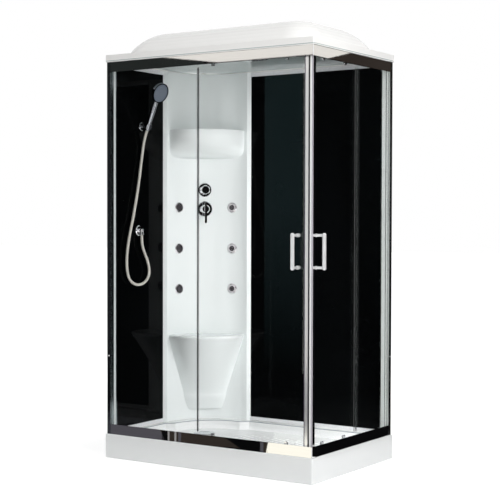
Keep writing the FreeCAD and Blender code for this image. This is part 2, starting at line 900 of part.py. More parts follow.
def make_door_glass(face):
    pane = face.block(face.door_start, closing_end(face) - closing_width + closing_overlap, door_glass_depth,
                      door_glass_back, tray_height + rail_wall + door_glass_clearance,
                      frame_top - door_glass_top_drop)
    holes = [face.pin(bolt_hole_radius, u, bolt, 0, track_depth) for u, bolt, axle in roller_places(face)]
    rod_hole = handle_rod_radius + stud_clearance
    u = face.length - face.handle_setback
    holes += [face.pin(rod_hole, u, z, 0, track_depth) for z in handle_posts()]
    return pane.cut(holes)


def make_closing_profile(face):
    end = closing_end(face)
    body = face.block(end - closing_width, end, closing_front, closing_front + closing_depth,
                      closing_low, closing_high)
    glass_slot = face.block(end - closing_width - overrun, end - closing_width + closing_overlap,
                            door_glass_depth, door_glass_back, closing_low - overrun, closing_high + overrun)
    seal_slot = face.block(end - magnet_seat, end + overrun, closing_front + rail_wall,
                           closing_front + closing_depth - rail_wall, closing_low - overrun,
                           closing_high + overrun)
    return body.cut([glass_slot, seal_slot])


def make_door_seals(face):
    end = closing_end(face)
    tongue = face.block(end - magnet_seat, end, closing_front + rail_wall,
                        closing_front + closing_depth - rail_wall, closing_low, closing_high)
    nose = face.bar([(end, magnet_front), (face.length - magnet_front - magnet_gap, magnet_front),
                     (face.length - magnet_back - magnet_gap, magnet_back), (end, magnet_back)],
                    closing_low, closing_high)
    magnet = nose.fuse(tongue).removeSplitter()
    trailing = edge_seal(face, face.door_start, -1, door_glass_depth, fixed_glass_back + seal_running_gap)
    return Part.makeCompound([magnet, trailing])


def handle_posts():
    return (handle_height - handle_post_spacing / 2, handle_height + handle_post_spacing / 2)


def make_door_handles(face):
    """A bar outside the glass on two posts, whose rods end in round caps inside it."""
    u = face.length - face.handle_setback
    bar_depth = door_glass_depth - handle_standoff
    bar = turned([(0, 0), (handle_tip_radius, 0), (handle_radius, handle_tip),
                  (handle_radius, handle_length - handle_tip), (handle_tip_radius, handle_length),
                  (0, handle_length)], face.point(u, bar_depth, handle_height - handle_length / 2), up)
    posts = []
    for z in handle_posts():
        post = face.pin(handle_post_radius, u, z, bar_depth, door_glass_depth)
        collar = face.pin(handle_collar_radius, u, z, door_glass_depth - handle_collar_length,
                          door_glass_depth)
        through = face.pin(handle_rod_radius, u, z, door_glass_depth, door_glass_back)
        cap = face.pin(handle_cap_radius, u, z, door_glass_back, door_glass_back + handle_cap_length)
        posts.append(post.fuse([collar, through, cap]).cut(bar).removeSplitter())
    return Part.makeCompound([bar] + posts)


def make_roller_carriers(face):
    """A cap, bolt, arm and axle for each roller."""
    carriers = []
    half = roller_arm_width / 2
    for u, bolt, axle in roller_places(face):
        cap = face.pin(roller_cap_radius, u, bolt, door_glass_depth - roller_cap_thickness, door_glass_depth)
        shank = face.pin(roller_bolt_radius, u, bolt, door_glass_depth, door_glass_back)
        low, high = sorted((bolt, axle))
        arm = face.block(u - half, u + half, door_glass_back, arm_back, low, high)
        ends = [face.pin(half, u, z, door_glass_back, arm_back) for z in (low, high)]
        pin = face.pin(axle_radius, u, axle, door_glass_back, wheel_back + wheel_side_gap)
        clip = face.pin(clip_radius, u, axle, wheel_back + wheel_side_gap,
                        wheel_back + wheel_side_gap + clip_thickness)
        carriers.append(cap.fuse([shank, arm, pin, clip] + ends).removeSplitter())
    return Part.makeCompound(carriers)


def make_wheel(face, place):
    u, bolt, axle = place
    bore = axle_radius + axle_clearance
    return turned([(bore, 0), (wheel_radius, 0), (wheel_groove_radius, wheel_width / 2),
                   (wheel_radius, wheel_width), (bore, wheel_width)], face.point(u, wheel_front, axle),
                  face.inward)


# Wall panels

def make_left_panel():
    low = tray_height + trim_gap + trim_height - trim_bed
    high = frame_top - trim_gap - trim_height + trim_bed
    start = -half_width + frame_inset + post_depth + panel_end_gap
    hole_start = Vector(left_face - glass_thickness - overrun, elbow_y, elbow_height)
    hole = rod(elbow_tail_radius + hair_gap, hole_start, Vector(1, 0, 0), glass_thickness + overrun * 2)
    pane = block(left_face - glass_thickness, left_face, start, column_left_y - panel_end_gap, low, high)
    return pane.cut(hole)


def make_back_panel():
    low = tray_height + trim_gap + trim_height - trim_bed
    high = frame_top - trim_gap - trim_height + trim_bed
    end = half_length - frame_inset - post_depth - panel_end_gap
    return block(column_back_x + panel_end_gap, end, back_face, back_face + glass_thickness, low, high)


def make_panel_trims():
    """White channels that hold the top and bottom edges of both black panes."""
    start = -half_width + frame_inset + post_depth + panel_end_gap
    end = half_length - frame_inset - post_depth - panel_end_gap
    panes = [make_left_panel(), make_back_panel()]
    trims = []
    low = tray_height + trim_gap
    high = frame_top - trim_gap
    for bottom, top in ((low, low + trim_height), (high - trim_height, high)):
        left = block(left_face - glass_thickness - trim_back, left_face + trim_front, start,
                     column_left_y - panel_end_gap, bottom, top)
        back = block(column_back_x + panel_end_gap, end, back_face - trim_front,
                     back_face + glass_thickness + trim_back, bottom, top)
        trims += [left.cut(panes[0]), back.cut(panes[1])]
    return Part.makeCompound(trims)


# Column

def make_column():
    low = tray_height + column_end_gap
    high = frame_top - column_end_gap

    def stand(inset, back_reach, bottom, top):
        plan = column_plan(inset, back_reach)
        plan.translate(up * bottom)
        return plan.extrude(up * (top - bottom))

    skin = stand(0, 0, low, high).fuse([seat_form(0), shelf_form(0, 0)])
    inside = [stand(column_wall, overrun, low - overrun, high + overrun), seat_form(column_wall),
              shelf_form(column_wall, shelf_recess + column_wall)]
    holes = [shelf_pocket()]
    reach = column_wall * 4
    for radius, height in ((mixer_hole_radius, mixer_height), (diverter_hole_radius, diverter_height)):
        holes.append(rod(radius, column_point(0, -column_hollow - reach, height), column_out, reach * 2))
    for t, z in jet_places():
        normal = column_normal(t)
        start = column_point(t, column_surface(t), z) - normal * reach
        holes.append(rod(jet_hole_radius, start, normal, reach * 2))
    pipe_notch = rod(wall_pipe_radius + stud_clearance, Vector(-half_length + wall_pipe_inset,
                     column_left_y - overrun, elbow_height), Vector(0, 1, 0), overrun * 3)
    body = skin.cut(inside).cut(holes + [pipe_notch])
    return max(body.Solids, key=lambda solid: solid.Volume)


# Roof

valve_line = -column_hollow - valve_depth
riser_foot = column_point(0, valve_line, diverter_height + valve_margin)
rain_centre = Vector(rain_x, rain_y, 0)
ceiling_level = frame_top + roof_wall


def dome_form(inset):
    """The raised dome: rounded rectangles that draw in along an oval rise."""
    wires = []
    for step in range(dome_steps + 1):
        angle = math.pi / 2 * step / dome_steps
        across = 1 - math.cos(angle) ** (2 / dome_roundness)
        rise = math.sin(angle) ** (2 / dome_roundness)
        radius = dome_base_radius + (dome_top_radius - dome_base_radius) * across
        wires.append(rounded_wire(half_length - dome_inset_x - dome_run_x * across - inset,
                                  half_width - dome_inset_y - dome_run_y * across - inset,
                                  radius - inset, roof_rim_top - inset + dome_height * rise))
    return Part.makeLoft(wires, True, True)


def make_roof():
    """The moulded shell, and the flat ceiling sheet that lies on the flange inside its rim."""
    slab = block(-half_length, half_length, -half_width, half_width, frame_top, roof_rim_top)
    slab = slab.makeFillet(roof_corner_radius, vertical_edges(slab, lambda p: True))
    wall = roof_wall
    cavity = block(-half_length + wall, half_length - wall, -half_width + wall, half_width - wall,
                   frame_top + wall, roof_rim_top - wall)
    margin = roof_bearing_width + wall
    mouth = block(-half_length + margin, half_length - margin, -half_width + margin, half_width - margin,
                  frame_top - overrun, frame_top + wall * 2)
    shell = slab.fuse(dome_form(0)).cut([cavity, mouth, dome_form(wall)]).removeSplitter()
    edge = wall + ceiling_edge_gap
    sheet = block(-half_length + edge, half_length - edge, -half_width + edge, half_width - edge,
                  ceiling_level, ceiling_level + ceiling_thickness)
    holes = []
    for place, radius in ((riser_foot, pipe_radius), (rain_centre, rain_neck_radius)):
        low = Vector(place.x, place.y, ceiling_level - overrun)
        holes.append(rod(radius + ceiling_hole_gap, low, up, overrun * 2))
    return Part.makeCompound([shell, sheet.cut(holes)])


# Mixer, diverter and pipes

def dished_plate(radius, height, bore, base, axis):
    """A cover plate, hollow behind, with a bore for its stem."""
    return turned([(bore, height), (radius - height / 2, height), (radius, height / 2), (radius, 0),
                   (radius - plate_wall, 0), (radius - plate_wall, height - plate_wall),
                   (bore, height - plate_wall)], base, axis)


def fitting_base(t, height):
    """Where the back of a round plate rests on the hollow column."""
    return column_point(t, column_surface(t) + plate_seat, height)


def make_valve_plates():
    mixer = dished_plate(mixer_plate_radius, mixer_plate_height, mixer_stem_radius + hair_gap,
                         fitting_base(0, mixer_height), column_out)
    diverter = dished_plate(diverter_plate_radius, diverter_plate_height, diverter_stem_radius + hair_gap,
                            fitting_base(0, diverter_height), column_out)
    return Part.makeCompound([mixer, diverter])


mixer_front = -column_hollow + plate_seat + mixer_plate_height
diverter_front = -column_hollow + plate_seat + diverter_plate_height


def make_valve_body():
    low = mixer_height - valve_margin
    body = rod(valve_body_radius, column_point(0, valve_line, low), up,
               diverter_height + valve_margin - low)
    pieces = []
    for radius, height, face_n in ((mixer_stem_radius, mixer_height, mixer_front),
                                   (diverter_stem_radius, diverter_height, diverter_front)):
        start = column_point(0, valve_line, height)
        pieces.append(rod(radius, start, column_out, face_n - valve_line))
        pieces.append(rod(spindle_radius, start, column_out, face_n - valve_line + spindle_length))
    half = inlet_spacing / 2
    pieces.append(rod(inlet_arm_radius, column_point(-half, valve_line, mixer_height), column_along,
                      inlet_spacing))
    for t in (-half, half):
        start = column_point(t, valve_line, mixer_height)
        pieces.append(rod(inlet_boss_radius, start, column_out * -1, inlet_boss_reach))
        pieces.append(rod(inlet_radius, start, column_out * -1, inlet_boss_reach + inlet_length))
    return body.fuse(pieces).removeSplitter()


def make_mixer_cap():
    """A round cap that sits on the mixing spindle and carries the lever."""
    base = column_point(0, mixer_front + hair_gap, mixer_height)
    bore = spindle_radius + spindle_clearance
    depth = spindle_length + hair_gap
    return turned([(bore, 0), (mixer_neck_radius, 0), (mixer_neck_radius, mixer_neck_height),
                   (mixer_cap_radius, mixer_neck_height + handle_tip / 2),
                   (mixer_cap_radius, mixer_cap_height - handle_tip),
                   (mixer_cap_radius - handle_tip, mixer_cap_height), (0, mixer_cap_height),
                   (0, depth), (bore, depth)], base, column_out)


def make_mixer_lever():
    """A flat bar with round ends that hangs across the cap's face on a round boss."""
    front_n = mixer_front + hair_gap + mixer_cap_height + lever_gap
    half = lever_width / 2
    top = mixer_height + lever_above - half
    bottom = mixer_height - lever_below + half
    outline = [column_point(-half, front_n, bottom), column_point(half, front_n, bottom),
               column_point(half, front_n, top), column_point(-half, front_n, top)]
    bar = outline_face(outline).extrude(column_out * lever_thickness)
    ends = [rod(half, column_point(0, front_n, z), column_out, lever_thickness) for z in (bottom, top)]
    boss = rod(lever_boss_radius, column_point(0, front_n, mixer_height), column_out, lever_thickness)
    return bar.fuse(ends + [boss]).removeSplitter()


def make_diverter_knob():
    base = column_point(0, diverter_front + hair_gap, diverter_height)
    bore = spindle_radius + spindle_clearance
    depth = spindle_length + hair_gap
    knob = turned([(bore, 0), (diverter_knob_radius, 0),
                   (diverter_knob_radius, diverter_knob_height - handle_tip),
                   (diverter_knob_radius - handle_tip, diverter_knob_height), (0, diverter_knob_height),
                   (0, depth), (bore, depth)], base, column_out)
    grips = []
    for index in range(diverter_grips):
        angle = 2 * math.pi * index / diverter_grips
        distance = diverter_knob_radius + diverter_grip_radius - diverter_grip_depth
        centre = base + column_along * (distance * math.cos(angle)) + up * (distance * math.sin(angle))
        start = centre + column_out * handle_tip
        grips.append(rod(diverter_grip_radius, start, column_out, diverter_knob_height))
    return knob.cut(grips)


def jet_frame(t, z):
    """Base point on the column and outward direction for one jet."""
    return column_point(t, column_surface(t), z), column_normal(t)


jet_plate_lift = jet_bezel_radius ** 2 / (2 * arc_radius) + hair_gap


def make_jet_bezels():
    bezels = []
    for t, z in jet_places():
        base, normal = jet_frame(t, z)
        height = jet_bezel_height
        bezels.append(turned([(jet_body_bore, height), (jet_bezel_radius - height, height),
                              (jet_bezel_radius, height / 2), (jet_bezel_radius, 0), (jet_body_bore, 0)],
                             base + normal * jet_plate_lift, normal))
    return Part.makeCompound(bezels)


def make_jet_nozzle(t, z):
    """An insert that swivels on its widest ring, with a sunk mouth and a narrow tail."""
    base, normal = jet_frame(t, z)
    face_height = jet_plate_lift + jet_bezel_height - jet_face_setback
    length = jet_nozzle_length
    start = base + normal * (face_height - length)
    return turned([(0, 0), (jet_nozzle_tail_radius, 0),
                   (jet_nozzle_ridge_radius, length - jet_nozzle_ridge_depth),
                   (jet_nozzle_face_radius, length), (jet_mouth_radius, length),
                   (jet_mouth_radius, length - jet_mouth_depth), (0, length - jet_mouth_depth)],
                  start, normal)


def jet_body_end(t, z):
    base, normal = jet_frame(t, z)
    return base - normal * jet_body_length


def make_water_pipes():
    """Jet bodies, the pipes that join them, and the supply to the wall elbow."""
    solids = []
    for sign in (-1, 1):
        pieces = []
        for z in jet_rows:
            base, normal = jet_frame(sign * jet_offset, z)
            lift = jet_plate_lift - hair_gap / 2
            end = jet_body_end(sign * jet_offset, z)
            body = rod(jet_body_radius, end, normal, jet_body_length + lift)
            bore_start = base + normal * (jet_plate_lift + jet_bezel_height - jet_face_setback
                                          - jet_nozzle_length - jet_tail_gap)
            pieces.append(body.cut(rod(jet_body_bore, bore_start, normal, jet_body_length)))
        foot = jet_body_end(sign * jet_offset, min(jet_rows))
        inward = column_normal(sign * jet_offset) * pipe_radius
        pipe = rod(pipe_radius, foot + inward - up * jet_body_radius, up,
                   max(jet_rows) - min(jet_rows) + 2 * jet_body_radius)
        for z in jet_rows:
            base, normal = jet_frame(sign * jet_offset, z)
            end = jet_body_end(sign * jet_offset, z)
            pipe = pipe.cut(rod(jet_body_radius, end, normal, jet_body_length))
        solids.append(pieces[0].fuse(pieces[1:] + [pipe]).removeSplitter())
    start = Vector(-half_length + wall_pipe_inset, elbow_y - wall_pipe_radius * 2, elbow_height)
    supply = rod(wall_pipe_radius, start, Vector(0, 1, 0), column_left_y + overrun - start.y)
    solids.append(supply)
    return Part.makeCompound(solids)


# Overhead shower

rain_pipe_height = frame_top + rain_pipe_rise


def swept_pipe(points, bend_radius, radius):
    """A round pipe along straight runs joined by arcs of one radius."""
    wire = rounded_route(points, [bend_radius] * (len(points) - 2))
    ring = Part.Wire(Part.makeCircle(radius, points[0], points[1] - points[0]))
    return wire.makePipeShell([ring], True, False)


def rounded_route(points, radii):
    """A wire of straight runs and tangent arcs through a list of points."""
    edges = []
    start = points[0]
    for index, radius in enumerate(radii):
        corner = points[index + 1]
        back = (points[index] - corner).normalize()
        ahead = (points[index + 2] - corner).normalize()
        half_turn = (math.pi - back.getAngle(ahead)) / 2
        reach = radius * math.tan(half_turn)
        arc_in = corner + back * reach
        arc_out = corner + ahead * reach
        bisector = (back + ahead).normalize()
        centre_gap = radius / math.cos(half_turn)
        middle = corner + bisector * (centre_gap - radius)
        edges.append(Part.makeLine(start, arc_in))
        edges.append(Part.Arc(arc_in, middle, arc_out).toShape())
        start = arc_out
    edges.append(Part.makeLine(start, points[-1]))
    return Part.Wire(edges)


def make_rain_pipe():
    """The riser behind the column and its arm inside the dome, down to the boss of the overhead shower."""
    points = [riser_foot, Vector(riser_foot.x, riser_foot.y, rain_pipe_height),
              rain_centre + up * rain_pipe_height]
    pipe = swept_pipe(points, riser_bend_radius, pipe_radius)
    boss = rod(rain_boss_radius, rain_centre + up * (rain_pipe_height - pipe_radius), up, pipe_radius * 2)
    return pipe.fuse(boss).removeSplitter()


def make_rain_head():
    """A thin disc under the ceiling sheet, with a neck that goes up through it to the pipe's boss."""
    bottom = ceiling_level - rain_head_thickness
    neck_top = rain_pipe_height - pipe_radius
    return turned([(0, bottom), (rain_head_radius - rain_head_edge, bottom),
                   (rain_head_radius, bottom + rain_head_edge), (rain_head_radius, ceiling_level),
                   (rain_neck_radius, ceiling_level), (rain_neck_radius, neck_top), (0, neck_top)],
                  rain_centre, up)


# Hand shower

tilt = Rotation(Vector(0, 1, 0), handset_tilt)
handset_axis = tilt.multVec(up)
handset_face_level = tilt.multVec(Vector(1, 0, 0))
handset_face = Rotation(handset_axis, -handset_twist).multVec(handset_face_level)
handset_base = Vector(left_face + handset_standoff, handset_y, handset_z)
hose_start = handset_base + handset_axis * (nut_low + hose_socket)
elbow_outlet = Vector(left_face + elbow_reach, elbow_y, elbow_height - elbow_drop)


def make_elbow():
    base = Vector(left_face, elbow_y, elbow_height)
    out = Vector(1, 0, 0)
    plate = turned([(0, 0), (elbow_plate_radius, 0), (elbow_plate_radius, elbow_plate_height / 2),
                    (elbow_plate_radius - elbow_plate_height / 2, elbow_plate_height),
                    (0, elbow_plate_height)], base, out)
    arm = rod(elbow_body_radius, base, out, elbow_reach)
    knuckle = Part.makeSphere(elbow_body_radius, base + out * elbow_reach)
    leg = rod(elbow_nut_radius, base + out * elbow_reach - up * elbow_drop, up, elbow_drop)
    tail = rod(elbow_tail_radius, base - out * glass_thickness, out, glass_thickness)
    return plate.fuse([arm, knuckle, leg, tail]).removeSplitter()


def make_bracket():
    """A round wall plate and a neck that ends in a slanting cup for the hand shower."""
    centre = handset_base + handset_axis * ((holder_low + holder_high) / 2)
    base = Vector(left_face, handset_y, centre.z)
    out = Vector(1, 0, 0)
    plate = turned([(0, 0), (bracket_plate_radius, 0), (bracket_plate_radius, bracket_plate_height / 2),
                    (bracket_plate_radius - bracket_plate_height / 2, bracket_plate_height),
                    (0, bracket_plate_height)], base, out)
    neck = rod(bracket_neck_radius, base, out, centre.x - base.x)
    length = holder_high - holder_low
    low = handset_base + handset_axis * holder_low
    cup = rod(holder_radius, low, handset_axis, length)
    slope = (nut_high_radius - nut_low_radius) / (nut_high - nut_low)
    seat = nut_low_radius + slope * (holder_low - nut_low) + hair_gap
    bore = Part.makeCone(seat - slope * overrun, seat + slope * (length + overrun), length + overrun * 2,
                         low - handset_axis * overrun, handset_axis)
    mouth_half = nut_low_radius + hair_gap
    mouth = block(0, holder_radius + overrun, -mouth_half, mouth_half, -overrun, length + overrun)
    mouth.Placement = Placement(low, Rotation(handset_axis, -handset_twist).multiply(tilt))
    return plate.fuse([neck, cup]).cut([bore, mouth]).removeSplitter()


def make_handset():
    """A tapering handle with its cone nut, and a shallow round head that faces into the cabin."""
    nut = turned([(0, nut_low), (nut_low_radius, nut_low), (nut_high_radius, nut_high), (0, nut_high)],
                 handset_base, handset_axis)
    bore = rod(hose_radius + hair_gap, hose_start - handset_axis * (hose_socket + overrun), handset_axis,
               hose_socket + overrun + hair_gap)
    handle = turned([(0, nut_high + hair_gap), (handle_low_radius, nut_high + hair_gap),
                     (handle_mid_radius, handle_mid), (handle_neck_radius, handle_neck),
                     (handle_neck_radius, head_centre_along - handle_neck_radius),
                     (handle_neck_radius / 2, head_centre_along), (0, head_centre_along)],
                    handset_base, handset_axis)
    centre = handset_base + handset_axis * head_centre_along
    head = turned([(0, -head_edge - head_back), (head_back_radius, -head_edge - head_back),
                   (head_radius, -head_edge), (head_radius, 0), (head_face_radius + head_face_gap, 0),
                   (head_face_radius + head_face_gap, -head_face_recess - head_face_height),
                   (0, -head_face_recess - head_face_height)], centre + handset_face * head_standoff,
                  handset_face)
    recess = rod(head_face_radius + head_face_gap, centre + handset_face * (head_standoff
                 - head_face_recess - head_face_height), handset_face, head_standoff * 2)
    return Part.makeCompound([nut.cut(bore), handle.fuse(head).cut(recess).removeSplitter()])


def make_handset_plate():
    centre = handset_base + handset_axis * head_centre_along
    start = centre + handset_face * (head_standoff - head_face_recess - head_face_height)
    return rod(head_face_radius, start, handset_face, head_face_height)


# The hose hangs from the hand shower's nut, loops below the elbow and rises into it. The shares say
# how much of the fall from the nut to the elbow is left at the first places. Each place is given by
# its distance from the left wall and along the wall from the elbow, and in the loop by its height
# above the elbow's outlet.
hose_fall_shares = (0.73, 0.46, 0.194)
hose_fall_places = ((14.5, 10.0), (17.5, -22.0), (19.0, -62.0))
hose_loop_places = ((20.0, -104.0, -15.0), (20.0, -126.0, -130.0), (20.0, -110.0, -222.0),
                    (20.0, -47.0, -258.0), (20.0, 28.0, -250.0), (20.0, 71.0, -205.0),
                    (20.0, 57.0, -138.0), (21.0, 15.0, -78.0))


def hose_route():
    fall = hose_start.z - elbow_outlet.z
    places = [(off, along, fall * share) for share, (off, along) in zip(hose_fall_shares, hose_fall_places)]
    return [Vector(left_face + off, elbow_y + along, elbow_outlet.z + rise)
            for off, along, rise in places + list(hose_loop_places)]


def make_hose():
    points = [hose_start, hose_start - handset_axis * hose_first_run] + hose_route()
    points += [elbow_outlet - up * hose_last_run, elbow_outlet]
    for point in points:
        print(f"hose point {point.x:.1f} {point.y:.1f} {point.z:.1f}")
    radii = []
    for before, corner, after in zip(points, points[1:], points[2:]):
        run_in, run_out = corner - before, after - corner
        half_turn = run_in.getAngle(run_out) / 2
        radii.append(0.45 * min(run_in.Length, run_out.Length) / math.tan(half_turn))
    print("hose arc radii in diameters:", [round(radius / (2 * hose_radius), 1) for radius in radii])
    wire = rounded_route(points, radii)
    ring = Part.Wire(Part.makeCircle(hose_radius, points[0], points[1] - points[0]))
    hose = wire.makePipeShell([ring], True, False)
    expected = math.pi * hose_radius ** 2 * wire.Length
    print(f"hose length {wire.Length:.0f} mm, volume {hose.Volume:.0f} against {expected:.0f} mm3")
    return hose


# Export

def main():
    os.makedirs("parts", exist_ok=True)
    save(make_tray(), "tray")
    save(make_tray_frame(), "tray_frame")
    save(make_feet(), "levelling_feet")
    flange, cover = make_drain()
    save(flange, "waste_flange")
    save(cover, "drain_cover")
    save(make_trap(), "waste_trap")
    for face in (front, side):
        save(make_rail(face, bottom_section()), f"{face.name}_bottom_rail")
        save(make_rail(face, top_section()), f"{face.name}_top_rail")
        save(make_post(face), f"{face.name}_wall_post")
        save(make_fixed_glass(face), f"{face.name}_fixed_glass")
        save(make_door_glass(face), f"{face.name}_door_glass")
        save(make_closing_profile(face), f"{face.name}_closing_profile")
        save(make_door_seals(face), f"{face.name}_door_seals")
        save(make_door_handles(face), f"{face.name}_door_handles")
        save(make_roller_carriers(face), f"{face.name}_roller_carriers")
        for index, place in enumerate(roller_places(face)):
            save(make_wheel(face, place), f"{face.name}_wheel_{index + 1}")
    save(make_fixed_seals(), "fixed_glass_seals")
    save(make_corner_brackets(), "corner_brackets")
    save(make_post_screws(), "post_screws")
    save(make_left_panel(), "left_wall_panel")
    save(make_back_panel(), "back_wall_panel")
    save(make_panel_trims(), "panel_trims")
    save(make_column(), "back_column")
    save(make_roof(), "roof")
    save(make_valve_plates(), "valve_plates")
    save(make_valve_body(), "valve_body")
    save(make_mixer_cap(), "mixer_cap")
    save(make_mixer_lever(), "mixer_lever")
    save(make_diverter_knob(), "diverter_knob")
    save(make_jet_bezels(), "jet_bezels")
    for index, (t, z) in enumerate(jet_places()):
        save(make_jet_nozzle(t, z), f"jet_nozzle_{index + 1}")
    save(make_water_pipes(), "water_pipes")
    save(make_rain_pipe(), "rain_shower_pipe")
    save(make_rain_head(), "rain_shower_head")
    save(make_elbow(), "wall_elbow")
    save(make_bracket(), "shower_bracket")
    save(make_handset(), "handset_body")
    save(make_handset_plate(), "handset_plate")
    save(make_hose(), "shower_hose")


main()
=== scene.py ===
# %% [markdown]
# A shower cabin in Blender. The solids come ready from the frame, so this lesson is about three
# things: a camera that looks as the photograph does, a studio that suits black glass and chrome,
# and the small pieces and finishes that turn plain solids into a product.

# %% Load the frame
import json
import math

import bmesh
import bpy
from mathutils import Matrix, Vector


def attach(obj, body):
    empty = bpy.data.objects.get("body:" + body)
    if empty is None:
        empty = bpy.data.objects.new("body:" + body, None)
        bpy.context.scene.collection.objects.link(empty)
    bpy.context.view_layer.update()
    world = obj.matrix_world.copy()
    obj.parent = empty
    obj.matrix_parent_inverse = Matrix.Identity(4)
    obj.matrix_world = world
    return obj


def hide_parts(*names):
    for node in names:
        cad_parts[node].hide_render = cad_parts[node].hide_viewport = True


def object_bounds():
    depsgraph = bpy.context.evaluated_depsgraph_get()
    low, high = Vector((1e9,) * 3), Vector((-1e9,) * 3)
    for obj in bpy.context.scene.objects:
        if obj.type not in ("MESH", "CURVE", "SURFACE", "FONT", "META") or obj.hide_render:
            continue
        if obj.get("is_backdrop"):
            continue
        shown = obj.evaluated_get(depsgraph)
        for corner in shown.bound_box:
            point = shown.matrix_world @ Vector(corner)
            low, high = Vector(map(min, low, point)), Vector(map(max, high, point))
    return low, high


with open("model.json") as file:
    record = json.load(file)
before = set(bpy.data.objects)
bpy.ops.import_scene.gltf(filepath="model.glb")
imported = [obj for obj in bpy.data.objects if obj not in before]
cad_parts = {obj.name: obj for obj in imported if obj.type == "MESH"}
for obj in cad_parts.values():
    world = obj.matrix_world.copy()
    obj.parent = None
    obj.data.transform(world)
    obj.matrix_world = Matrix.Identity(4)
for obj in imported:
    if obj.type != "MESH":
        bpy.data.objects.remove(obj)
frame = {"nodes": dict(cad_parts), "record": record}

nodes = frame["nodes"]
cad_low, cad_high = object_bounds()
print("nodes:", len(nodes), "box:", tuple(cad_low), tuple(cad_high))


# %% [markdown]
# The camera. Parallel edges of the tray, the rails and the roof meet in two vanishing points,
# and with the tray's length known they give the camera's place and lens. The picture is cut
# off centre, so a small shift stands in for the crop. Its yaw and pitch are kept as angles,
# because they are easy to read and to change.

# %% Camera
camera_place = Vector((3.4594, -5.346, 1.1887))
camera_yaw = math.radians(34.3186)
camera_pitch = math.radians(-1.5892)
camera_roll = math.radians(0.09)
frame_pixels = 500
focal_pixels = 1270.2
axis_pixel = Vector((217.9, 257.17))

camera_data = bpy.data.cameras.new("camera")
camera_data.sensor_width = 36
camera_data.lens = focal_pixels / frame_pixels * camera_data.sensor_width
camera_data.shift_x = 0.5 - axis_pixel.x / frame_pixels
camera_data.shift_y = axis_pixel.y / frame_pixels - 0.5
camera = bpy.data.objects.new("camera", camera_data)
bpy.context.scene.collection.objects.link(camera)
turn = Matrix.Rotation(camera_yaw, 4, "Z") @ Matrix.Rotation(math.pi / 2 + camera_pitch, 4, "X")
camera.matrix_world = Matrix.Translation(camera_place) @ turn @ Matrix.Rotation(camera_roll, 4, "Z")
bpy.context.scene.camera = camera
print("lens:", round(camera_data.lens, 2), "mm")


# %% [markdown]
# Finishes are shader trees, and trees are long to write node by node. A small class wraps a
# socket so that Python's own operators add the Math nodes, and one method makes every other node.

# %% Sockets that can be added and multiplied
class Socket:
    """A shader output that takes part in sums."""

    def __init__(self, finish, output):
        self.finish = finish
        self.output = output

    def math(self, operation, first, second):
        return self.finish.node("ShaderNodeMath", {"operation": operation}, {0: first, 1: second})

    def __add__(self, other):
        return self.math("ADD", self, other)

    def __rsub__(self, other):
        return self.math("SUBTRACT", other, self)

    def __mul__(self, other):
        return self.math("MULTIPLY", self, other)

    def __gt__(self, other):
        return self.math("GREATER_THAN", self, other)

    def __lt__(self, other):
        return self.math("LESS_THAN", self, other)

    def __pow__(self, other):
        return self.math("POWER", self, other)

    __radd__ = __add__
    __rmul__ = __mul__


class Finish:
    """A material with one Principled shader and short ways to add nodes to it."""

    def __init__(self, name, **constants):
        self.material = bpy.data.materials.new(name)
        self.material.use_nodes = True
        self.tree = self.material.node_tree
        self.shader = self.tree.nodes["Principled BSDF"]
        for socket, value in constants.items():
            self.shader.inputs[socket.replace("_", " ")].default_value = value

    def node(self, kind, settings=None, inputs=None, output=0):
        node = self.tree.nodes.new(kind)
        for key, value in (settings or {}).items():
            setattr(node, key, value)
        for key, value in (inputs or {}).items():
            if isinstance(value, Socket):
                self.tree.links.new(value.output, node.inputs[key])
            else:
                node.inputs[key].default_value = value
        return Socket(self, node.outputs[output])

    def set(self, socket, value):
        self.tree.links.new(value.output, self.shader.inputs[socket])

    def place(self, scale=(1, 1, 1)):
        """Object coordinates in metres, stretched by a scale."""
        coordinates = self.node("ShaderNodeTexCoord", output="Object")
        return self.node("ShaderNodeMapping", {}, {"Vector": coordinates, "Scale": scale})

    def axes(self):
        """Object coordinates as three numbers."""
        place = self.place()
        return [self.node("ShaderNodeSeparateXYZ", {}, {"Vector": place}, axis) for axis in "XYZ"]

    def noise(self, scale, detail=4.0, roughness=0.5, stretch=(1, 1, 1)):
        return self.node("ShaderNodeTexNoise", {}, {"Vector": self.place(stretch), "Scale": scale,
                                                    "Detail": detail, "Roughness": roughness})

    def cells(self, scale, output):
        return self.node("ShaderNodeTexVoronoi", {}, {"Vector": self.place(), "Scale": scale}, output)

    def blend(self, factor, first, second):
        """A colour between two colours."""
        return self.node("ShaderNodeMix", {"data_type": "RGBA"}, {0: factor, 6: first, 7: second}, 2)

    def bump(self, height, distance, strength=1.0):
        self.set("Normal", self.node("ShaderNodeBump", {}, {"Height": height, "Distance": distance,
                                                             "Strength": strength}))


def grey(value):
    return (value, value, value, 1.0)


def shade(colour, share):
    """A colour made darker or lighter by a share."""
    return tuple(min(1.0, part * share) for part in colour[:3]) + (1,)


def between(value, low, high):
    """One where a socket's value lies between two numbers, and zero elsewhere."""
    return (value > low) * (value < high)


# %% [markdown]
# White acrylic covers the tray, the column and the roof. It is a vacuum formed sheet: very pale,
# glossy, and never quite flat, so highlights waver. A slow noise as a faint bump gives that
# waver, and a little noise in the roughness keeps the gloss from looking like paint. The ceiling
# sheet is painted grey: painted shade for the dim inside of the roof. A soft grey line of painted
# shade runs in the crease where the tray's ledge turns down into the basin. Both are masks on the
# height, so they need no extra pieces.

# %% White acrylic
acrylic_index = 1.49
ceiling_low, ceiling_high = 1.9885, 1.9923
rim_low, rim_high = 0.1172, 0.1212
rim_half_length, rim_front, rim_back = 0.575, -0.375, 0.378
# How dark the painted shade in the basin's crease is.
rim_shade_strength = 0.85


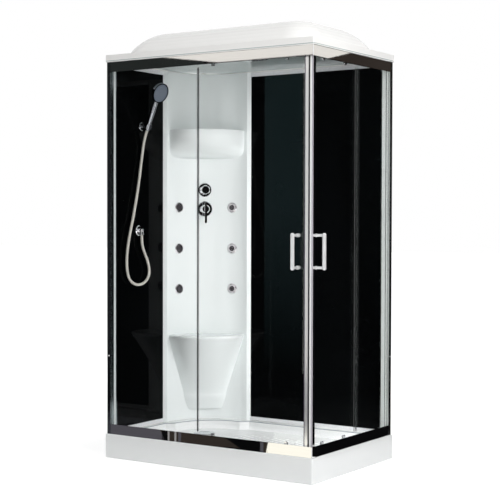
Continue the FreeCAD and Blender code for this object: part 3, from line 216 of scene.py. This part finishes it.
def white_skin(finish, dark, light, waver):
    """The gloss that all white sheets share. It returns their mottled white."""
    finish.set("Roughness", 0.10 + 0.08 * finish.noise(18.0, 5.0))
    finish.bump(finish.noise(7.0, 2.0), 0.004, waver)
    return finish.blend(finish.noise(3.0, 3.0), dark, light)


def make_column_acrylic():
    finish = Finish("column acrylic", IOR=acrylic_index)
    tint = (0.835, 0.872, 0.868, 1)
    finish.set("Base Color", white_skin(finish, tint, shade(tint, 1.02), 0.35))
    return finish.material


def make_roof_acrylic():
    finish = Finish("roof and ceiling", IOR=acrylic_index)
    x, y, z = finish.axes()
    white = white_skin(finish, (0.885, 0.880, 0.862, 1), (0.90, 0.895, 0.88, 1), 0.25)
    # Painted shade: the ceiling sheet between these heights is painted grey for the dim inside of the roof.
    sheet = between(z, ceiling_low, ceiling_high)
    finish.set("Base Color", finish.blend(sheet, white, (0.44, 0.50, 0.49, 1)))
    return finish.material


def make_tray_acrylic():
    finish = Finish("tray acrylic", IOR=acrylic_index)
    x, y, z = finish.axes()
    inside = between(x, -rim_half_length, rim_half_length) * between(y, rim_front, rim_back)
    # Painted shade: a thin dark grey band in the crease where the ledge turns down into the basin.
    rim_shade = between(z, rim_low, rim_high) * inside
    white = white_skin(finish, (0.850, 0.866, 0.866, 1), (0.868, 0.882, 0.880, 1), 0.35)
    finish.set("Base Color", finish.blend(rim_shade_strength * rim_shade, white, (0.20, 0.24, 0.26, 1)))
    return finish.material


roof_acrylic = make_roof_acrylic()
tray_acrylic = make_tray_acrylic()
column_acrylic = make_column_acrylic()
print("white sheets:", roof_acrylic.name, tray_acrylic.name, column_acrylic.name)


# %% [markdown]
# Chrome and polished aluminium differ in two ways. Chrome is nearly a mirror with faint water
# marks. Aluminium profiles are drawn through a die, which leaves fine lines along their length,
# so their noise is stretched along the axis of the profile. The handles have a satin plating that
# glows in soft light, and the jets' rings are satin too.

# %% Chrome and aluminium
def make_chrome(name, colour=(0.82, 0.82, 0.84, 1), rough=0.035):
    finish = Finish(name, Metallic=1.0)
    marks = finish.noise(60.0, 6.0, 0.6)
    finish.set("Base Color", finish.blend(marks, colour, shade(colour, 0.94)))
    finish.set("Roughness", rough + 0.06 * marks ** 4.0)
    finish.bump(finish.noise(9.0, 2.0), 0.0006, 0.2)
    return finish.material


def make_handle_chrome():
    finish = Finish("handle chrome", Metallic=0.5)
    marks = finish.noise(60.0, 6.0, 0.6)
    finish.set("Base Color", finish.blend(marks, (0.97, 0.97, 0.97, 1), (0.90, 0.90, 0.91, 1)))
    finish.set("Roughness", 0.06 + 0.08 * marks)
    return finish.material


def make_aluminium(name, stretch):
    finish = Finish(name, Metallic=1.0)
    colour = (0.80, 0.795, 0.80, 1)
    lines = finish.noise(900.0, 3.0, 0.6, stretch)
    finish.set("Base Color", finish.blend(lines, colour, shade(colour, 0.9)))
    finish.set("Roughness", 0.006 + 0.014 * lines)
    finish.bump(lines, 0.0001, 0.03)
    return finish.material


chrome = make_chrome("chrome")
jet_chrome = make_chrome("jet chrome", (0.80, 0.78, 0.80, 1), 0.24)
handle_chrome = make_handle_chrome()
# The bracket and the hand shower are chrome like the rest; this darker chrome is a painted dark reflection
# of the surroundings they mirror.
dimmed_chrome = make_chrome("dimmed chrome", (0.34, 0.35, 0.37, 1), 0.03)
aluminium_x = make_aluminium("aluminium drawn along x", (0.01, 1, 1))
aluminium_y = make_aluminium("aluminium drawn along y", (1, 0.01, 1))
aluminium_z = make_aluminium("aluminium drawn along z", (1, 1, 0.01))
print("metals:", chrome.name, aluminium_x.name)


# %% [markdown]
# The clear panes are 5 mm safety glass. A thin sheet bends light so little that its shader can skip
# that: it lets the view straight through and adds a mirror image. Alpha sets how much of the mirror
# shows, and it grows towards grazing angles by Schlick's rule, from 4 percent on each face. Black
# glass is painted on the back, so it is a deep black under a hard, smooth surface.

# %% Glass
def make_clear_glass():
    finish = Finish("clear glass", Base_Color=(0.84, 0.92, 0.90, 1), Metallic=1.0)
    facing = finish.node("ShaderNodeLayerWeight", {}, {"Blend": 0.5}, "Facing")
    haze = finish.noise(2.5, 3.0)
    finish.set("Alpha", (0.038 + 0.9 * facing ** 5.0) * (0.9 + 0.2 * haze))
    finish.set("Roughness", 0.004 + 0.012 * haze)
    return finish.material


def make_black_glass():
    finish = Finish("black glass", IOR=1.5, Specular_IOR_Level=0.045)
    film = finish.noise(1.8, 4.0)
    finish.set("Base Color", finish.blend(film, (0.0008, 0.0009, 0.0010, 1), (0.0016, 0.0020, 0.0022, 1)))
    finish.set("Roughness", 0.012 + 0.02 * film)
    return finish.material


clear_glass = make_clear_glass()
black_glass = make_black_glass()
print("glass:", clear_glass.name, black_glass.name)


# %% [markdown]
# Clear seals run along the free edges of the panes, and one node holds two unlike ones: a thin
# see-through fin and a stout, solid strip. Where a clear edge looks dark, the seal is painted nearly
# black: painted shade. The strip of the side door is painted darker than that of the front door:
# painted shade of a face turned from the light. The wall posts and the closing profile have pale
# and dark stripes along their length: painted reflections on their metal. Each of these finishes
# takes masks, which say by the place across the section where its second tone lies.

# %% Seals
def nowhere(x, y):
    return 0.0 * x


def make_seal(name, edge_shade_mask, strip_mask, strip_colour):
    """A see-through seal with a part of painted shade and a solid strip."""
    finish = Finish(name, IOR=1.46)
    x, y, z = finish.axes()
    dark, strip = edge_shade_mask(x, y), strip_mask(x, y)
    wear = finish.noise(140.0, 4.0)
    # Painted shade: where a clear edge looks dark, the seal is painted nearly black and almost opaque.
    edge = finish.blend(dark, (0.30, 0.32, 0.32, 1), (0.012, 0.012, 0.014, 1))
    finish.set("Base Color", finish.blend(strip, edge, strip_colour))
    finish.set("Alpha", 0.035 + 0.85 * dark + 0.965 * strip)
    finish.set("Roughness", 0.22 + 0.15 * wear)
    finish.bump(wear, 0.0002, 0.3)
    return finish.material


pane_seal = make_seal("pane seal", lambda x, y: between(x, -0.0425, 0.3) * (y < -0.3880),
                      lambda x, y: between(x, 0.3, 0.5772), grey(0.13))
front_seal = make_seal("front door seal", lambda x, y: between(x, 0.5, 0.57), lambda x, y: x > 0.57,
                       grey(0.95))
# The side door's strip is painted darker than the front door's: painted shade of a face turned from the
# light.
side_seal = make_seal("side door seal", nowhere, lambda x, y: y < -0.3, (0.42, 0.40, 0.44, 1))
print("seals:", pane_seal.name, front_seal.name, side_seal.name)


# %% [markdown]
# A striped profile blends two colours and two degrees of metal by one mask: its stripes are painted
# reflections on the metal. Its fine lines are the same stretched noise as on the rails.

# %% Striped profiles
def make_reflection_striped(name, mask, first, second, first_metal, second_metal):
    finish = Finish(name)
    x, y, z = finish.axes()
    side = mask(x, y)
    lines = finish.noise(900.0, 3.0, 0.6, (1, 1, 0.01))
    finish.set("Base Color", finish.blend(side, first, second))
    finish.set("Metallic", first_metal + (second_metal - first_metal) * side)
    finish.set("Roughness", 0.10 + 0.10 * lines)
    return finish.material


# Painted reflections: a pale band on the closing profile, the rest a dark violet mirror image.
def closing_reflection_stripe(x, y):
    return between(x, 0.5455, 0.5610)


# Painted reflection: a pale band on the inside of the front wall post, the rest a darkened mirror.
def front_post_reflection_stripe(x, y):
    return (x > -0.5735) * between(y, -0.3685, -0.3515)


# Painted reflection: pale bands on the side wall post, split by a dark line and half darkened by a painted
# shadow.
def side_post_reflection_stripes(x, y):
    dark_line, shadow = between(x, 0.5690, 0.5720), between(x, 0.5800, 0.5825)
    return between(x, 0.5490, 0.5900) * (1 - dark_line) * (1 - 0.5 * shadow)


closing_finish = make_reflection_striped("front closing profile", closing_reflection_stripe,
                              (0.10, 0.08, 0.12, 1), grey(0.98), 0.3, 0.65)
front_post_finish = make_reflection_striped("front wall post", front_post_reflection_stripe,
                                 (0.34, 0.38, 0.39, 1), (0.72, 0.76, 0.76, 1), 1.0, 0.0)
side_post_finish = make_reflection_striped("side wall post", side_post_reflection_stripes,
                                (0.30, 0.31, 0.31, 1), (0.90, 0.94, 0.92, 1), 1.0, 0.0)
print("striped:", closing_finish.name, front_post_finish.name, side_post_finish.name)


# %% [markdown]
# The rest are everyday plastics, rubber, zinc and brass. One helper makes a moulded plastic from
# a colour and a grain, because they differ only in those, and the cast and coated metals get
# their own: zinc has its spangle from a cell pattern, brass its sand-cast skin from noise.

# %% Plastics, rubber, zinc and brass
def make_plastic(name, colour, rough, grain, height):
    finish = Finish(name, IOR=1.46)
    noise = finish.noise(grain, 5.0, 0.6)
    finish.set("Base Color", finish.blend(noise, colour, shade(colour, 0.9)))
    finish.set("Roughness", rough + 0.12 * noise)
    finish.bump(noise, height, 0.4)
    return finish.material


def make_zinc():
    finish = Finish("zinc coated steel", Metallic=0.9)
    spangle = finish.cells(90.0, "Color")
    tone = finish.node("ShaderNodeRGBToBW", {}, {0: spangle})
    finish.set("Base Color", finish.blend(tone, (0.50, 0.51, 0.53, 1), (0.72, 0.73, 0.75, 1)))
    finish.set("Roughness", 0.32 + 0.2 * tone)
    return finish.material


def make_brass():
    finish = Finish("cast brass", Metallic=1.0)
    skin = finish.noise(240.0, 6.0, 0.7)
    finish.set("Base Color", finish.blend(skin, (0.78, 0.60, 0.30, 1), (0.52, 0.38, 0.17, 1)))
    finish.set("Roughness", 0.30 + 0.25 * skin)
    finish.bump(skin, 0.0006, 0.5)
    return finish.material


finishes = {
    "white_acrylic": tray_acrylic,
    "zinc_steel": make_zinc(),
    "black_feet": make_plastic("black foot rubber", (0.025, 0.025, 0.026, 1), 0.5, 220.0, 0.0005),
    "waste_plastic": make_plastic("trap plastic", (0.70, 0.70, 0.69, 1), 0.35, 90.0, 0.0004),
    "chrome_drain": chrome,
    "polished_aluminium": aluminium_z,
    "white_caps": make_plastic("screw cap white", (0.85, 0.85, 0.86, 1), 0.2, 150.0, 0.0002),
    "clear_glass": clear_glass,
    "black_glass": black_glass,
    "white_trim": make_plastic("trim white", (0.80, 0.81, 0.83, 1), 0.22, 120.0, 0.0002),
    "clear_seal": pane_seal,
    "chrome_rollers": chrome,
    "white_wheels": make_plastic("wheel nylon", (0.78, 0.78, 0.76, 1), 0.3, 160.0, 0.0002),
    "chrome_fittings": chrome,
    "brass_valve": make_brass(),
    "pipe_plastic": make_plastic("pipe grey", (0.45, 0.46, 0.47, 1), 0.35, 120.0, 0.0003),
    "jet_inserts": make_plastic("jet insert", (0.055, 0.048, 0.055, 1), 0.16, 160.0, 0.0002),
    "chrome_handset": chrome,
    "grey_spray_face": make_plastic("spray face grey", (0.16, 0.19, 0.24, 1), 0.3, 180.0, 0.0002),
    "silver_hose": make_plastic("hose silver", (0.66, 0.64, 0.58, 1), 0.25, 150.0, 0.0003),
}
finish_by_node = {
    "front_bottom_rail": aluminium_x,
    "front_top_rail": aluminium_x,
    "side_bottom_rail": aluminium_y,
    "side_top_rail": aluminium_y,
    "roof": roof_acrylic,
    "back_column": column_acrylic,
    "front_door_seals": front_seal,
    "side_door_seals": side_seal,
    "front_closing_profile": closing_finish,
    "front_wall_post": front_post_finish,
    "side_wall_post": side_post_finish,
    "front_door_handles": handle_chrome,
    "side_door_handles": handle_chrome,
    "jet_bezels": jet_chrome,
    # The bracket and the hand shower get the darkened chrome: a painted dark reflection.
    "shower_bracket": dimmed_chrome,
    "handset_body": dimmed_chrome,
}
for row in frame["record"]["subparts"]:
    node = nodes[row["node"]]
    node.data.materials.clear()
    node.data.materials.append(finish_by_node.get(row["node"], finishes[row["material_slot"]]))


# %% [markdown]
# The studio floor is a wide, plain, pale sheet. It takes the object's shadow, and it glows a little
# to the camera, to mirrors and through glass, more with distance, so that it runs into the white
# world without a horizon. Every sheet of the studio comes from one helper, which stretches a grid
# between a middle point and two half sides.

# %% Floor
def stage_sheet(name, middle, across, rise, material):
    """A flat sheet between a middle point and two half sides."""
    mesh = bmesh.new()
    bmesh.ops.create_grid(mesh, x_segments=1, y_segments=1, size=1)
    across, rise = Vector(across), Vector(rise)
    columns = (across, rise, across.cross(rise).normalized(), Vector(middle))
    place = Matrix([column.to_4d() for column in columns]).transposed()
    place[3] = (0, 0, 0, 1)
    bmesh.ops.transform(mesh, matrix=place, verts=mesh.verts)
    data = bpy.data.meshes.new(name)
    mesh.to_mesh(data)
    mesh.free()
    sheet = bpy.data.objects.new(name, data)
    bpy.context.scene.collection.objects.link(sheet)
    data.materials.append(material)
    sheet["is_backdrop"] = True
    return sheet


def make_floor_finish():
    finish = Finish("studio floor", Roughness=0.9, Emission_Strength=1.0)
    soft = finish.noise(1.2, 2.0)
    finish.set("Base Color", finish.blend(soft, grey(0.90), grey(0.92)))
    camera_ray = finish.node("ShaderNodeLightPath", output="Is Camera Ray")
    mirror_ray = finish.node("ShaderNodeLightPath", output="Is Glossy Ray")
    glass_ray = finish.node("ShaderNodeLightPath", output="Is Transmission Ray")
    place = finish.node("ShaderNodeTexCoord", output="Object")
    away = finish.node("ShaderNodeVectorMath", {"operation": "LENGTH"}, {0: place}, "Value")
    far = finish.node("ShaderNodeMapRange", {}, {"Value": away, "From Min": 0.9, "From Max": 3.2})
    glow = finish.blend(far, grey(0.60), grey(1.0))
    finish.set("Emission Color", finish.blend(camera_ray + mirror_ray + glass_ray, grey(0.0), glow))
    return finish.material


floor_half = 40
stage_sheet("floor", (0, 0, 0), (floor_half, 0, 0), (0, floor_half, 0), make_floor_finish())
print("floor:", 2 * floor_half, "m wide")


# %% [markdown]
# White acrylic needs soft light from both open sides, while black glass and chrome show whatever
# stands around them. A mirror on the front face looks to the left of the camera and one on the side
# face looks behind the cabin, so glowing cards stand there: mostly dark, and pale where the rails
# have a pale reflection. They are hidden from the camera and cast neither light nor shadow, so they
# only live in reflections.

# %% Card tones
def make_card_finish(name, colour, other, fade_low=-2.0, fade_high=-1.0):
    """A glowing card with two mottled tones, which fades to black below a height."""
    finish = Finish(name, Base_Color=grey(0.0), Roughness=1.0, Specular_IOR_Level=0.0,
                    Emission_Strength=1.0)
    x, y, z = finish.axes()
    fade = finish.node("ShaderNodeMapRange", {}, {"Value": z, "From Min": fade_low, "From Max": fade_high})
    tone = finish.blend(finish.noise(1.4, 3.0), colour, other)
    finish.set("Emission Color", finish.blend(fade, grey(0.002), tone))
    return finish.material


card_tones = {
    "black": make_card_finish("black card", (0.002, 0.002, 0.002, 1), (0.006, 0.006, 0.007, 1)),
    "smoke": make_card_finish("smoke card", (0.018, 0.021, 0.020, 1), (0.032, 0.036, 0.034, 1)),
    "brown": make_card_finish("brown card", (0.030, 0.024, 0.020, 1), (0.050, 0.040, 0.034, 1)),
    "violet": make_card_finish("violet card", (0.080, 0.078, 0.090, 1), (0.110, 0.105, 0.120, 1)),
    "teal": make_card_finish("teal card", (0.07, 0.125, 0.14, 1), (0.10, 0.16, 0.175, 1), 0.0, 1.3),
    "pale": make_card_finish("pale card", (0.34, 0.33, 0.33, 1), (0.40, 0.39, 0.38, 1)),
    "cream": make_card_finish("cream card", (0.96, 0.93, 0.86, 1), (1.0, 0.97, 0.92, 1)),
    "bright": make_card_finish("bright cream card", (1.30, 1.26, 1.10, 1), (1.34, 1.30, 1.14, 1)),
}
print("card tones:", len(card_tones))


# %% [markdown]
# The cards themselves are a table: name, tone, middle, half width and half height. Lines on the
# floor look upright in the bottom rail only if they point to the foot of the mirrored camera, so
# the strips there lean that way, on top of a brown base that closes the gaps between them.

# %% Cards
upright = (0, 0, 2.5)
cards = [
    ("front", "black", (-4.6, -4.0, 2.5), (3.5, 0, 0), upright),
    ("front_post", "violet", (-3.60, -3.95, 1.2), (0.10, 0, 0), (0, 0, 1.27)),
    ("front_teal", "teal", (-1.755, -3.95, 1.235), (0.175, 0, 0), (0, 0, 1.235)),
    ("front_edge", "cream", (-1.475, -3.95, 1.2), (0.10, 0, 0), (0, 0, 1.25)),
    ("front_top_left", "smoke", (-3.30, -3.97, 2.66), (0.80, 0, 0), (0, 0, 0.19)),
    ("front_wedge", "cream", (-2.66, -3.95, 2.822), (0.31, 0, -0.044), (0, 0, 0.3)),
    ("front_high", "cream", (-1.72, -3.95, 2.778), (0.63, 0, 0), (0, 0, 0.3)),
    ("front_right", "black", (1.7, -4.4, 1.3), (0.75, 0.15, 0), (0, 0, 1.3)),
    ("floor_far", "black", (-3.3, -2.63, 0.004), (3.45, 0, 0), (0, 1.38, 0)),
    ("side", "black", (4.1, 5.0, 2.5), (2.1, 0, 0), upright),
    ("side_high_dark", "brown", (3.19, 4.97, 2.93), (0.36, 0, 0.095), (0, 0, 0.32)),
    ("side_high", "cream", (3.665, 4.95, 3.0375), (0.135, 0, 0.0375), (0, 0, 0.3)),
    ("side_high_slant", "cream", (3.39, 4.95, 3.0195), (0.14, 0, -0.0195), (0, 0, 0.3)),
    ("side_floor", "black", (2.3, 2.6, 0.004), (1.45, 0, 0), (0, 2.4, 0)),
    ("side_right", "brown", (5.2, 1.8, 1.6), (0.3, 2.2, 0), (0, 0, 1.6)),
    ("right", "black", (4.9, -3.2, 1.7), (1.05, 1.34, 0), (0, 0, 1.7)),
    ("right_strip", "cream", (4.75, -3.3, 1.9), (0.10, 0.13, 0), (0, 0, 1.1)),
]
strips = [("violet", -2.30, -0.780), ("black", -0.780, -0.739), ("pale", -0.739, -0.727),
          ("brown", -0.727, -0.693), ("pale", -0.693, -0.680), ("brown", -0.680, -0.667),
          ("violet", -0.667, -0.647), ("brown", -0.647, -0.357), ("black", -0.357, -0.130),
          ("violet", -0.130, -0.110), ("brown", -0.110, -0.086), ("bright", -0.086, 0.55)]
strip_middle_y, strip_half, strip_height = -1.1, 0.35, 0.006
rail_setback = 0.034
front_plane = cad_low.y + rail_setback
mirrored_camera = Vector((camera_place.x, 2 * front_plane - camera_place.y, 0))
for index, (tone, left, right) in enumerate(strips):
    middle = Vector(((left + right) / 2, strip_middle_y, strip_height))
    lean = middle - mirrored_camera
    rise = Vector((lean.x, lean.y, 0)) / -lean.y * strip_half
    cards.append(("floor_strip_%d" % index, tone, middle, ((right - left) / 2, 0, 0), rise))
cards.append(("floor_strip_base", "brown", (-1.0, strip_middle_y, 0.005), (1.0, 0, 0),
              (0.24, strip_half, 0)))
cards.append(("floor_strip_slant", "brown", (-0.3835, -1.105, 0.007), (0.06, 0, 0), (0.16, 0.147, 0)))
for name, tone, middle, across, rise in cards:
    card = stage_sheet("card_" + name, middle, across, rise, card_tones[tone])
    card.visible_camera = False
    card.visible_diffuse = False
    card.visible_shadow = False
    card.visible_transmission = False
print("cards:", len(cards))


# %% [markdown]
# Soft lamps stand at a plain level. The one on the right is stronger, because the side faces are the
# brightest in the photograph, a narrow one inside stands for the light that the tray throws back on
# the column, and one behind shows the pipes. They are hidden from mirrors, where the cards do that
# work. The world is white to the eye and in mirrors, and dimmer as a light.

# %% Lamps and world
def lamp(name, place, target, width, height, power):
    data = bpy.data.lights.new(name, "AREA")
    data.shape = "RECTANGLE"
    data.size = width
    data.size_y = height
    data.energy = power
    thing = bpy.data.objects.new(name, data)
    bpy.context.scene.collection.objects.link(thing)
    direction = Vector(target) - Vector(place)
    thing.matrix_world = Matrix.Translation(place) @ direction.to_track_quat("-Z", "Y").to_matrix().to_4x4()
    thing.visible_glossy = False


cabin_middle = (0, 0, 1.1)
lamp("key", (4.2, -1.6, 2.4), cabin_middle, 2.4, 2.6, 146)
lamp("fill", (-0.6, -3.6, 1.7), cabin_middle, 2.6, 2.6, 32)
lamp("top", (0.6, -1.0, 4.6), cabin_middle, 3.0, 3.0, 46)
lamp("back", (-2.6, 3.4, 2.6), cabin_middle, 2.4, 2.4, 60)
lamp("inner", (0.42, 0.12, 0.86), (-0.45, 0.12, 0.76), 0.3, 1.6, 4.8)


def make_world():
    world = bpy.data.worlds.new("studio")
    bpy.context.scene.world = world
    world.use_nodes = True
    tree = world.node_tree
    rays = tree.nodes.new("ShaderNodeLightPath")
    seen = rays.outputs["Is Camera Ray"]
    for kind in ("Is Glossy Ray", "Is Transmission Ray"):
        either = tree.nodes.new("ShaderNodeMath")
        either.operation = "MAXIMUM"
        tree.links.new(seen, either.inputs[0])
        tree.links.new(rays.outputs[kind], either.inputs[1])
        seen = either.outputs[0]
    strength = tree.nodes.new("ShaderNodeMapRange")
    strength.inputs["To Min"].default_value = 0.12
    strength.inputs["To Max"].default_value = 1.0
    tree.links.new(seen, strength.inputs["Value"])
    background = tree.nodes["Background"]
    tree.links.new(strength.outputs[0], background.inputs["Strength"])
    background.inputs["Color"].default_value = grey(1.0)


make_world()
bpy.context.scene.view_settings.view_transform = "Standard"


# %% [markdown]
# The hose is one smooth curve. It hangs from the hand shower, loops under the elbow and rises
# into it. A NURBS line with these points as its handles keeps every bend soft.

# %% Shower hose
hose_points = [
    (-0.5404, -0.134, 1.6638), (-0.5608, -0.134, 1.6127), (-0.5655, -0.148, 1.5169),
    (-0.5625, -0.180, 1.3701), (-0.561, -0.220, 1.2255), (-0.560, -0.262, 1.105), (-0.560, -0.284, 0.990),
    (-0.560, -0.268, 0.898), (-0.560, -0.205, 0.862), (-0.560, -0.130, 0.870), (-0.560, -0.087, 0.915),
    (-0.560, -0.101, 0.982), (-0.559, -0.143, 1.042), (-0.558, -0.158, 1.084), (-0.558, -0.158, 1.120),
]
hose_diameter = 0.014


def make_hose():
    curve = bpy.data.curves.new("hose", "CURVE")
    curve.dimensions = "3D"
    spline = curve.splines.new("NURBS")
    spline.points.add(len(hose_points) - 1)
    for point, place in zip(spline.points, hose_points):
        point.co = (*place, 1)
    spline.order_u = 3
    spline.use_endpoint_u = True
    spline.resolution_u = 12
    curve.bevel_depth = hose_diameter / 2
    curve.bevel_resolution = 6
    curve.use_fill_caps = True
    hose = bpy.data.objects.new("hose", curve)
    bpy.context.scene.collection.objects.link(hose)
    curve.materials.append(finishes["silver_hose"])
    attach(hose, "cabin")
    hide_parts("shower_hose")
    length = sum((Vector(b) - Vector(a)).length for a, b in zip(hose_points, hose_points[1:]))
    print("hose control line:", round(length, 3), "m")


make_hose()


# %% [markdown]
# Small pieces make the scale readable: spray nozzles, a non-slip pattern, beads of sealant and the
# strips that close the rail corners. Each starts from a shape that a bmesh operator makes. One
# helper turns a finished bmesh into a piece that rides on a body.

# %% Add a piece
def add_piece(name, mesh, material, body):
    bmesh.ops.recalc_face_normals(mesh, faces=mesh.faces)
    data = bpy.data.meshes.new(name)
    mesh.to_mesh(data)
    mesh.free()
    for face in data.polygons:
        face.use_smooth = True
    piece = bpy.data.objects.new(name, data)
    bpy.context.scene.collection.objects.link(piece)
    data.materials.append(material)
    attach(piece, body)


# %% [markdown]
# Spray nozzles are small tapered nipples with rounded tips, in rings on a flat face. The face is
# found on the solid itself: the mean direction of the faces that look roughly the right way, and
# the middle of those that reach furthest. So the nozzles follow the solid if it moves.

# %% Spray faces
facing_share = 0.7
face_depth = 0.0006
stud_sink = 0.0002
tip_share, tip_from, tip_round = 0.6, 0.7, 0.25


def face_frame(node, hint):
    """Middle and direction of the outermost flat face of a node that looks along a hint."""
    mesh = nodes[node].data
    facing = [face.normal * face.area for face in mesh.polygons if face.normal.dot(hint) > facing_share]
    normal = sum(facing, Vector()).normalized()
    reach = max(vertex.co.dot(normal) for vertex in mesh.vertices)
    edge = [vertex.co for vertex in mesh.vertices if reach - vertex.co.dot(normal) < face_depth]
    return sum(edge, Vector()) / len(edge), normal


def ring_places(rings):
    for radius, count in rings:
        for step in range(count):
            angle = 2 * math.pi * step / count
            yield Vector((radius * math.cos(angle), radius * math.sin(angle), 0))


def make_studs(middle, normal, rings, radius, height):
    mesh = bmesh.new()
    stand = Matrix.Translation(middle) @ normal.to_track_quat("Z", "Y").to_matrix().to_4x4()
    for place in ring_places(rings):
        matrix = stand @ Matrix.Translation(place + Vector((0, 0, height / 2 - stud_sink)))
        made = bmesh.ops.create_cone(mesh, cap_ends=True, segments=12, radius1=radius,
                                     radius2=radius * tip_share, depth=height, matrix=matrix)
        tips = {edge for vertex in made["verts"] for edge in vertex.link_edges
                if all((v.co - middle).dot(normal) > height * tip_from for v in edge.verts)}
        bmesh.ops.bevel(mesh, geom=list(tips), offset=height * tip_round, segments=2, profile=0.5,
                        affect="EDGES", material=-1)
    return mesh


rubber = make_plastic("nozzle rubber", (0.50, 0.52, 0.55, 1), 0.4, 260.0, 0.0002)
glint = make_chrome("nozzle chrome", (0.80, 0.79, 0.81, 1), 0.06)
column_out = Vector((0.6857, -0.7279, 0))
sprays = [("handset_nozzles", "handset_plate", Vector((0.85, 0.05, -0.45)).normalized(),
           ((0.009, 6), (0.020, 12), (0.031, 18)), 0.0016, 0.0018, rubber, "hand_shower"),
          ("rain_nozzles", "rain_shower_head", Vector((0, 0, -1)),
           ((0.015, 6), (0.035, 12), (0.055, 20), (0.075, 28)), 0.0020, 0.0022, rubber, "cabin")]
for number in range(1, 7):
    jet = "jet_nozzle_%d" % number
    sprays.append(("jet_%d_nozzles" % number, jet, column_out, ((0.006, 5),), 0.0016, 0.0016, glint, jet))
for name, node, hint, rings, radius, height, material, body in sprays:
    middle, normal = face_frame(node, hint)
    add_piece(name, make_studs(middle, normal, rings, radius, height), material, body)
print("spray faces:", len(sprays))


# %% [markdown]
# The tray floor has a non-slip field of low ovals where the bather stands. Each is a flattened
# sphere, sunk halfway, with the part under the floor deleted, and every second column is shifted
# by half a step so that the ovals interlock.

# %% Non-slip pattern
def make_ovals():
    mesh = bmesh.new()
    floor_height, columns, rows = 0.078, 17, 11
    step, first_x, first_y, hidden_depth = 0.036, -0.14, -0.19, 0.0005
    size = Matrix.Diagonal((0.012, 0.008, 0.0024, 1))
    for column in range(columns):
        for row in range(rows):
            shift = 0.5 * (column % 2)
            middle = (first_x + step * column, first_y + step * (row + shift), floor_height)
            place = Matrix.Translation(middle)
            bmesh.ops.create_uvsphere(mesh, u_segments=12, v_segments=6, radius=1.0, matrix=place @ size)
    under = [vertex for vertex in mesh.verts if vertex.co.z < floor_height - hidden_depth]
    bmesh.ops.delete(mesh, geom=under, context="VERTS")
    return mesh


add_piece("tray_pattern", make_ovals(), tray_acrylic, "cabin")
print("non-slip field made")


# %% [markdown]
# A bead of sealant runs where the walls and the column meet the tray, and a round strip closes each
# corner between two rails. Both are a ring pushed along a path: it is extruded, and the new ring is
# carried to the next point and turned with the path. The column's foot gives its own path, from the
# lowest points of the solid.

# %% Beads and corner strips
bead_height, bead_radius, strip_radius = 0.1235, 0.0022, 0.0020
column_along, column_middle = Vector((0.7279, 0.6857, 0)), Vector((-0.4075, 0.2175, 0))


def push_ring(path, radius, segments=10):
    mesh = bmesh.new()
    ring = bmesh.ops.create_circle(mesh, cap_ends=False, segments=segments, radius=radius)["verts"]
    directions = [(b - a).normalized() for a, b in zip(path, path[1:])]
    directions.append(directions[-1])
    frames = [Matrix.Translation(point) @ (ahead + behind).to_track_quat("Z", "Y").to_matrix().to_4x4()
              for point, behind, ahead in zip(path, [directions[0]] + directions, directions)]
    bmesh.ops.transform(mesh, matrix=frames[0], verts=ring)
    bmesh.ops.contextual_create(mesh, geom=ring)
    edges = [edge for edge in mesh.edges if all(v in ring for v in edge.verts)]
    for before, after in zip(frames, frames[1:]):
        made = bmesh.ops.extrude_edge_only(mesh, edges=edges)["geom"]
        ring = [part for part in made if isinstance(part, bmesh.types.BMVert)]
        edges = [part for part in made if isinstance(part, bmesh.types.BMEdge)
                 and all(v in ring for v in part.verts)]
        bmesh.ops.transform(mesh, matrix=after @ before.inverted(), verts=ring)
    bmesh.ops.contextual_create(mesh, geom=ring)
    return mesh


def column_foot_path():
    """Points along the column's front edge just above the tray, from left to right."""
    foot_top, half_foot, back_line, clearance = 0.1225, 0.235, -0.12, 0.001
    front = {}
    for vertex in nodes["back_column"].data.vertices:
        if vertex.co.z < foot_top:
            offset = vertex.co - column_middle
            key = round(offset.dot(column_along), 3)
            front[key] = max(front.get(key, -1), offset.dot(column_out))
    inner = [(key, out) for key, out in sorted(front.items()) if abs(key) < half_foot and out > back_line]
    return [column_middle + column_along * key + column_out * (out + clearance)
            + Vector((0, 0, bead_height)) for key, out in inner]


sealant = make_plastic("sealant", (0.78, 0.79, 0.78, 1), 0.35, 180.0, 0.0003)
left_bead = [Vector((-0.5760, y, bead_height)) for y in (-0.335, 0.045)]
back_bead = [Vector((x, 0.3760, bead_height)) for x in (-0.225, 0.535)]
for name, path in (("left", left_bead), ("column", column_foot_path()), ("back", back_bead)):
    add_piece("sealant_" + name, push_ring(path, bead_radius), sealant, "cabin")
for name, low, high in (("bottom", 0.1225, 0.1715), ("top", 1.9355, 1.9845)):
    corner = [Vector((0.5935, -0.3935, z)) for z in (low, high)]
    add_piece("corner_strip_" + name, push_ring(corner, strip_radius, 16), finishes["white_caps"], "cabin")
print("sealant and corner strips made")


# %% [markdown]
# Last, the box of the finished model is printed, to set beside the box of the solids.

# %% Measure and finish
low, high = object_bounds()
print("model box:", [round(value, 4) for value in (*low, *high)])
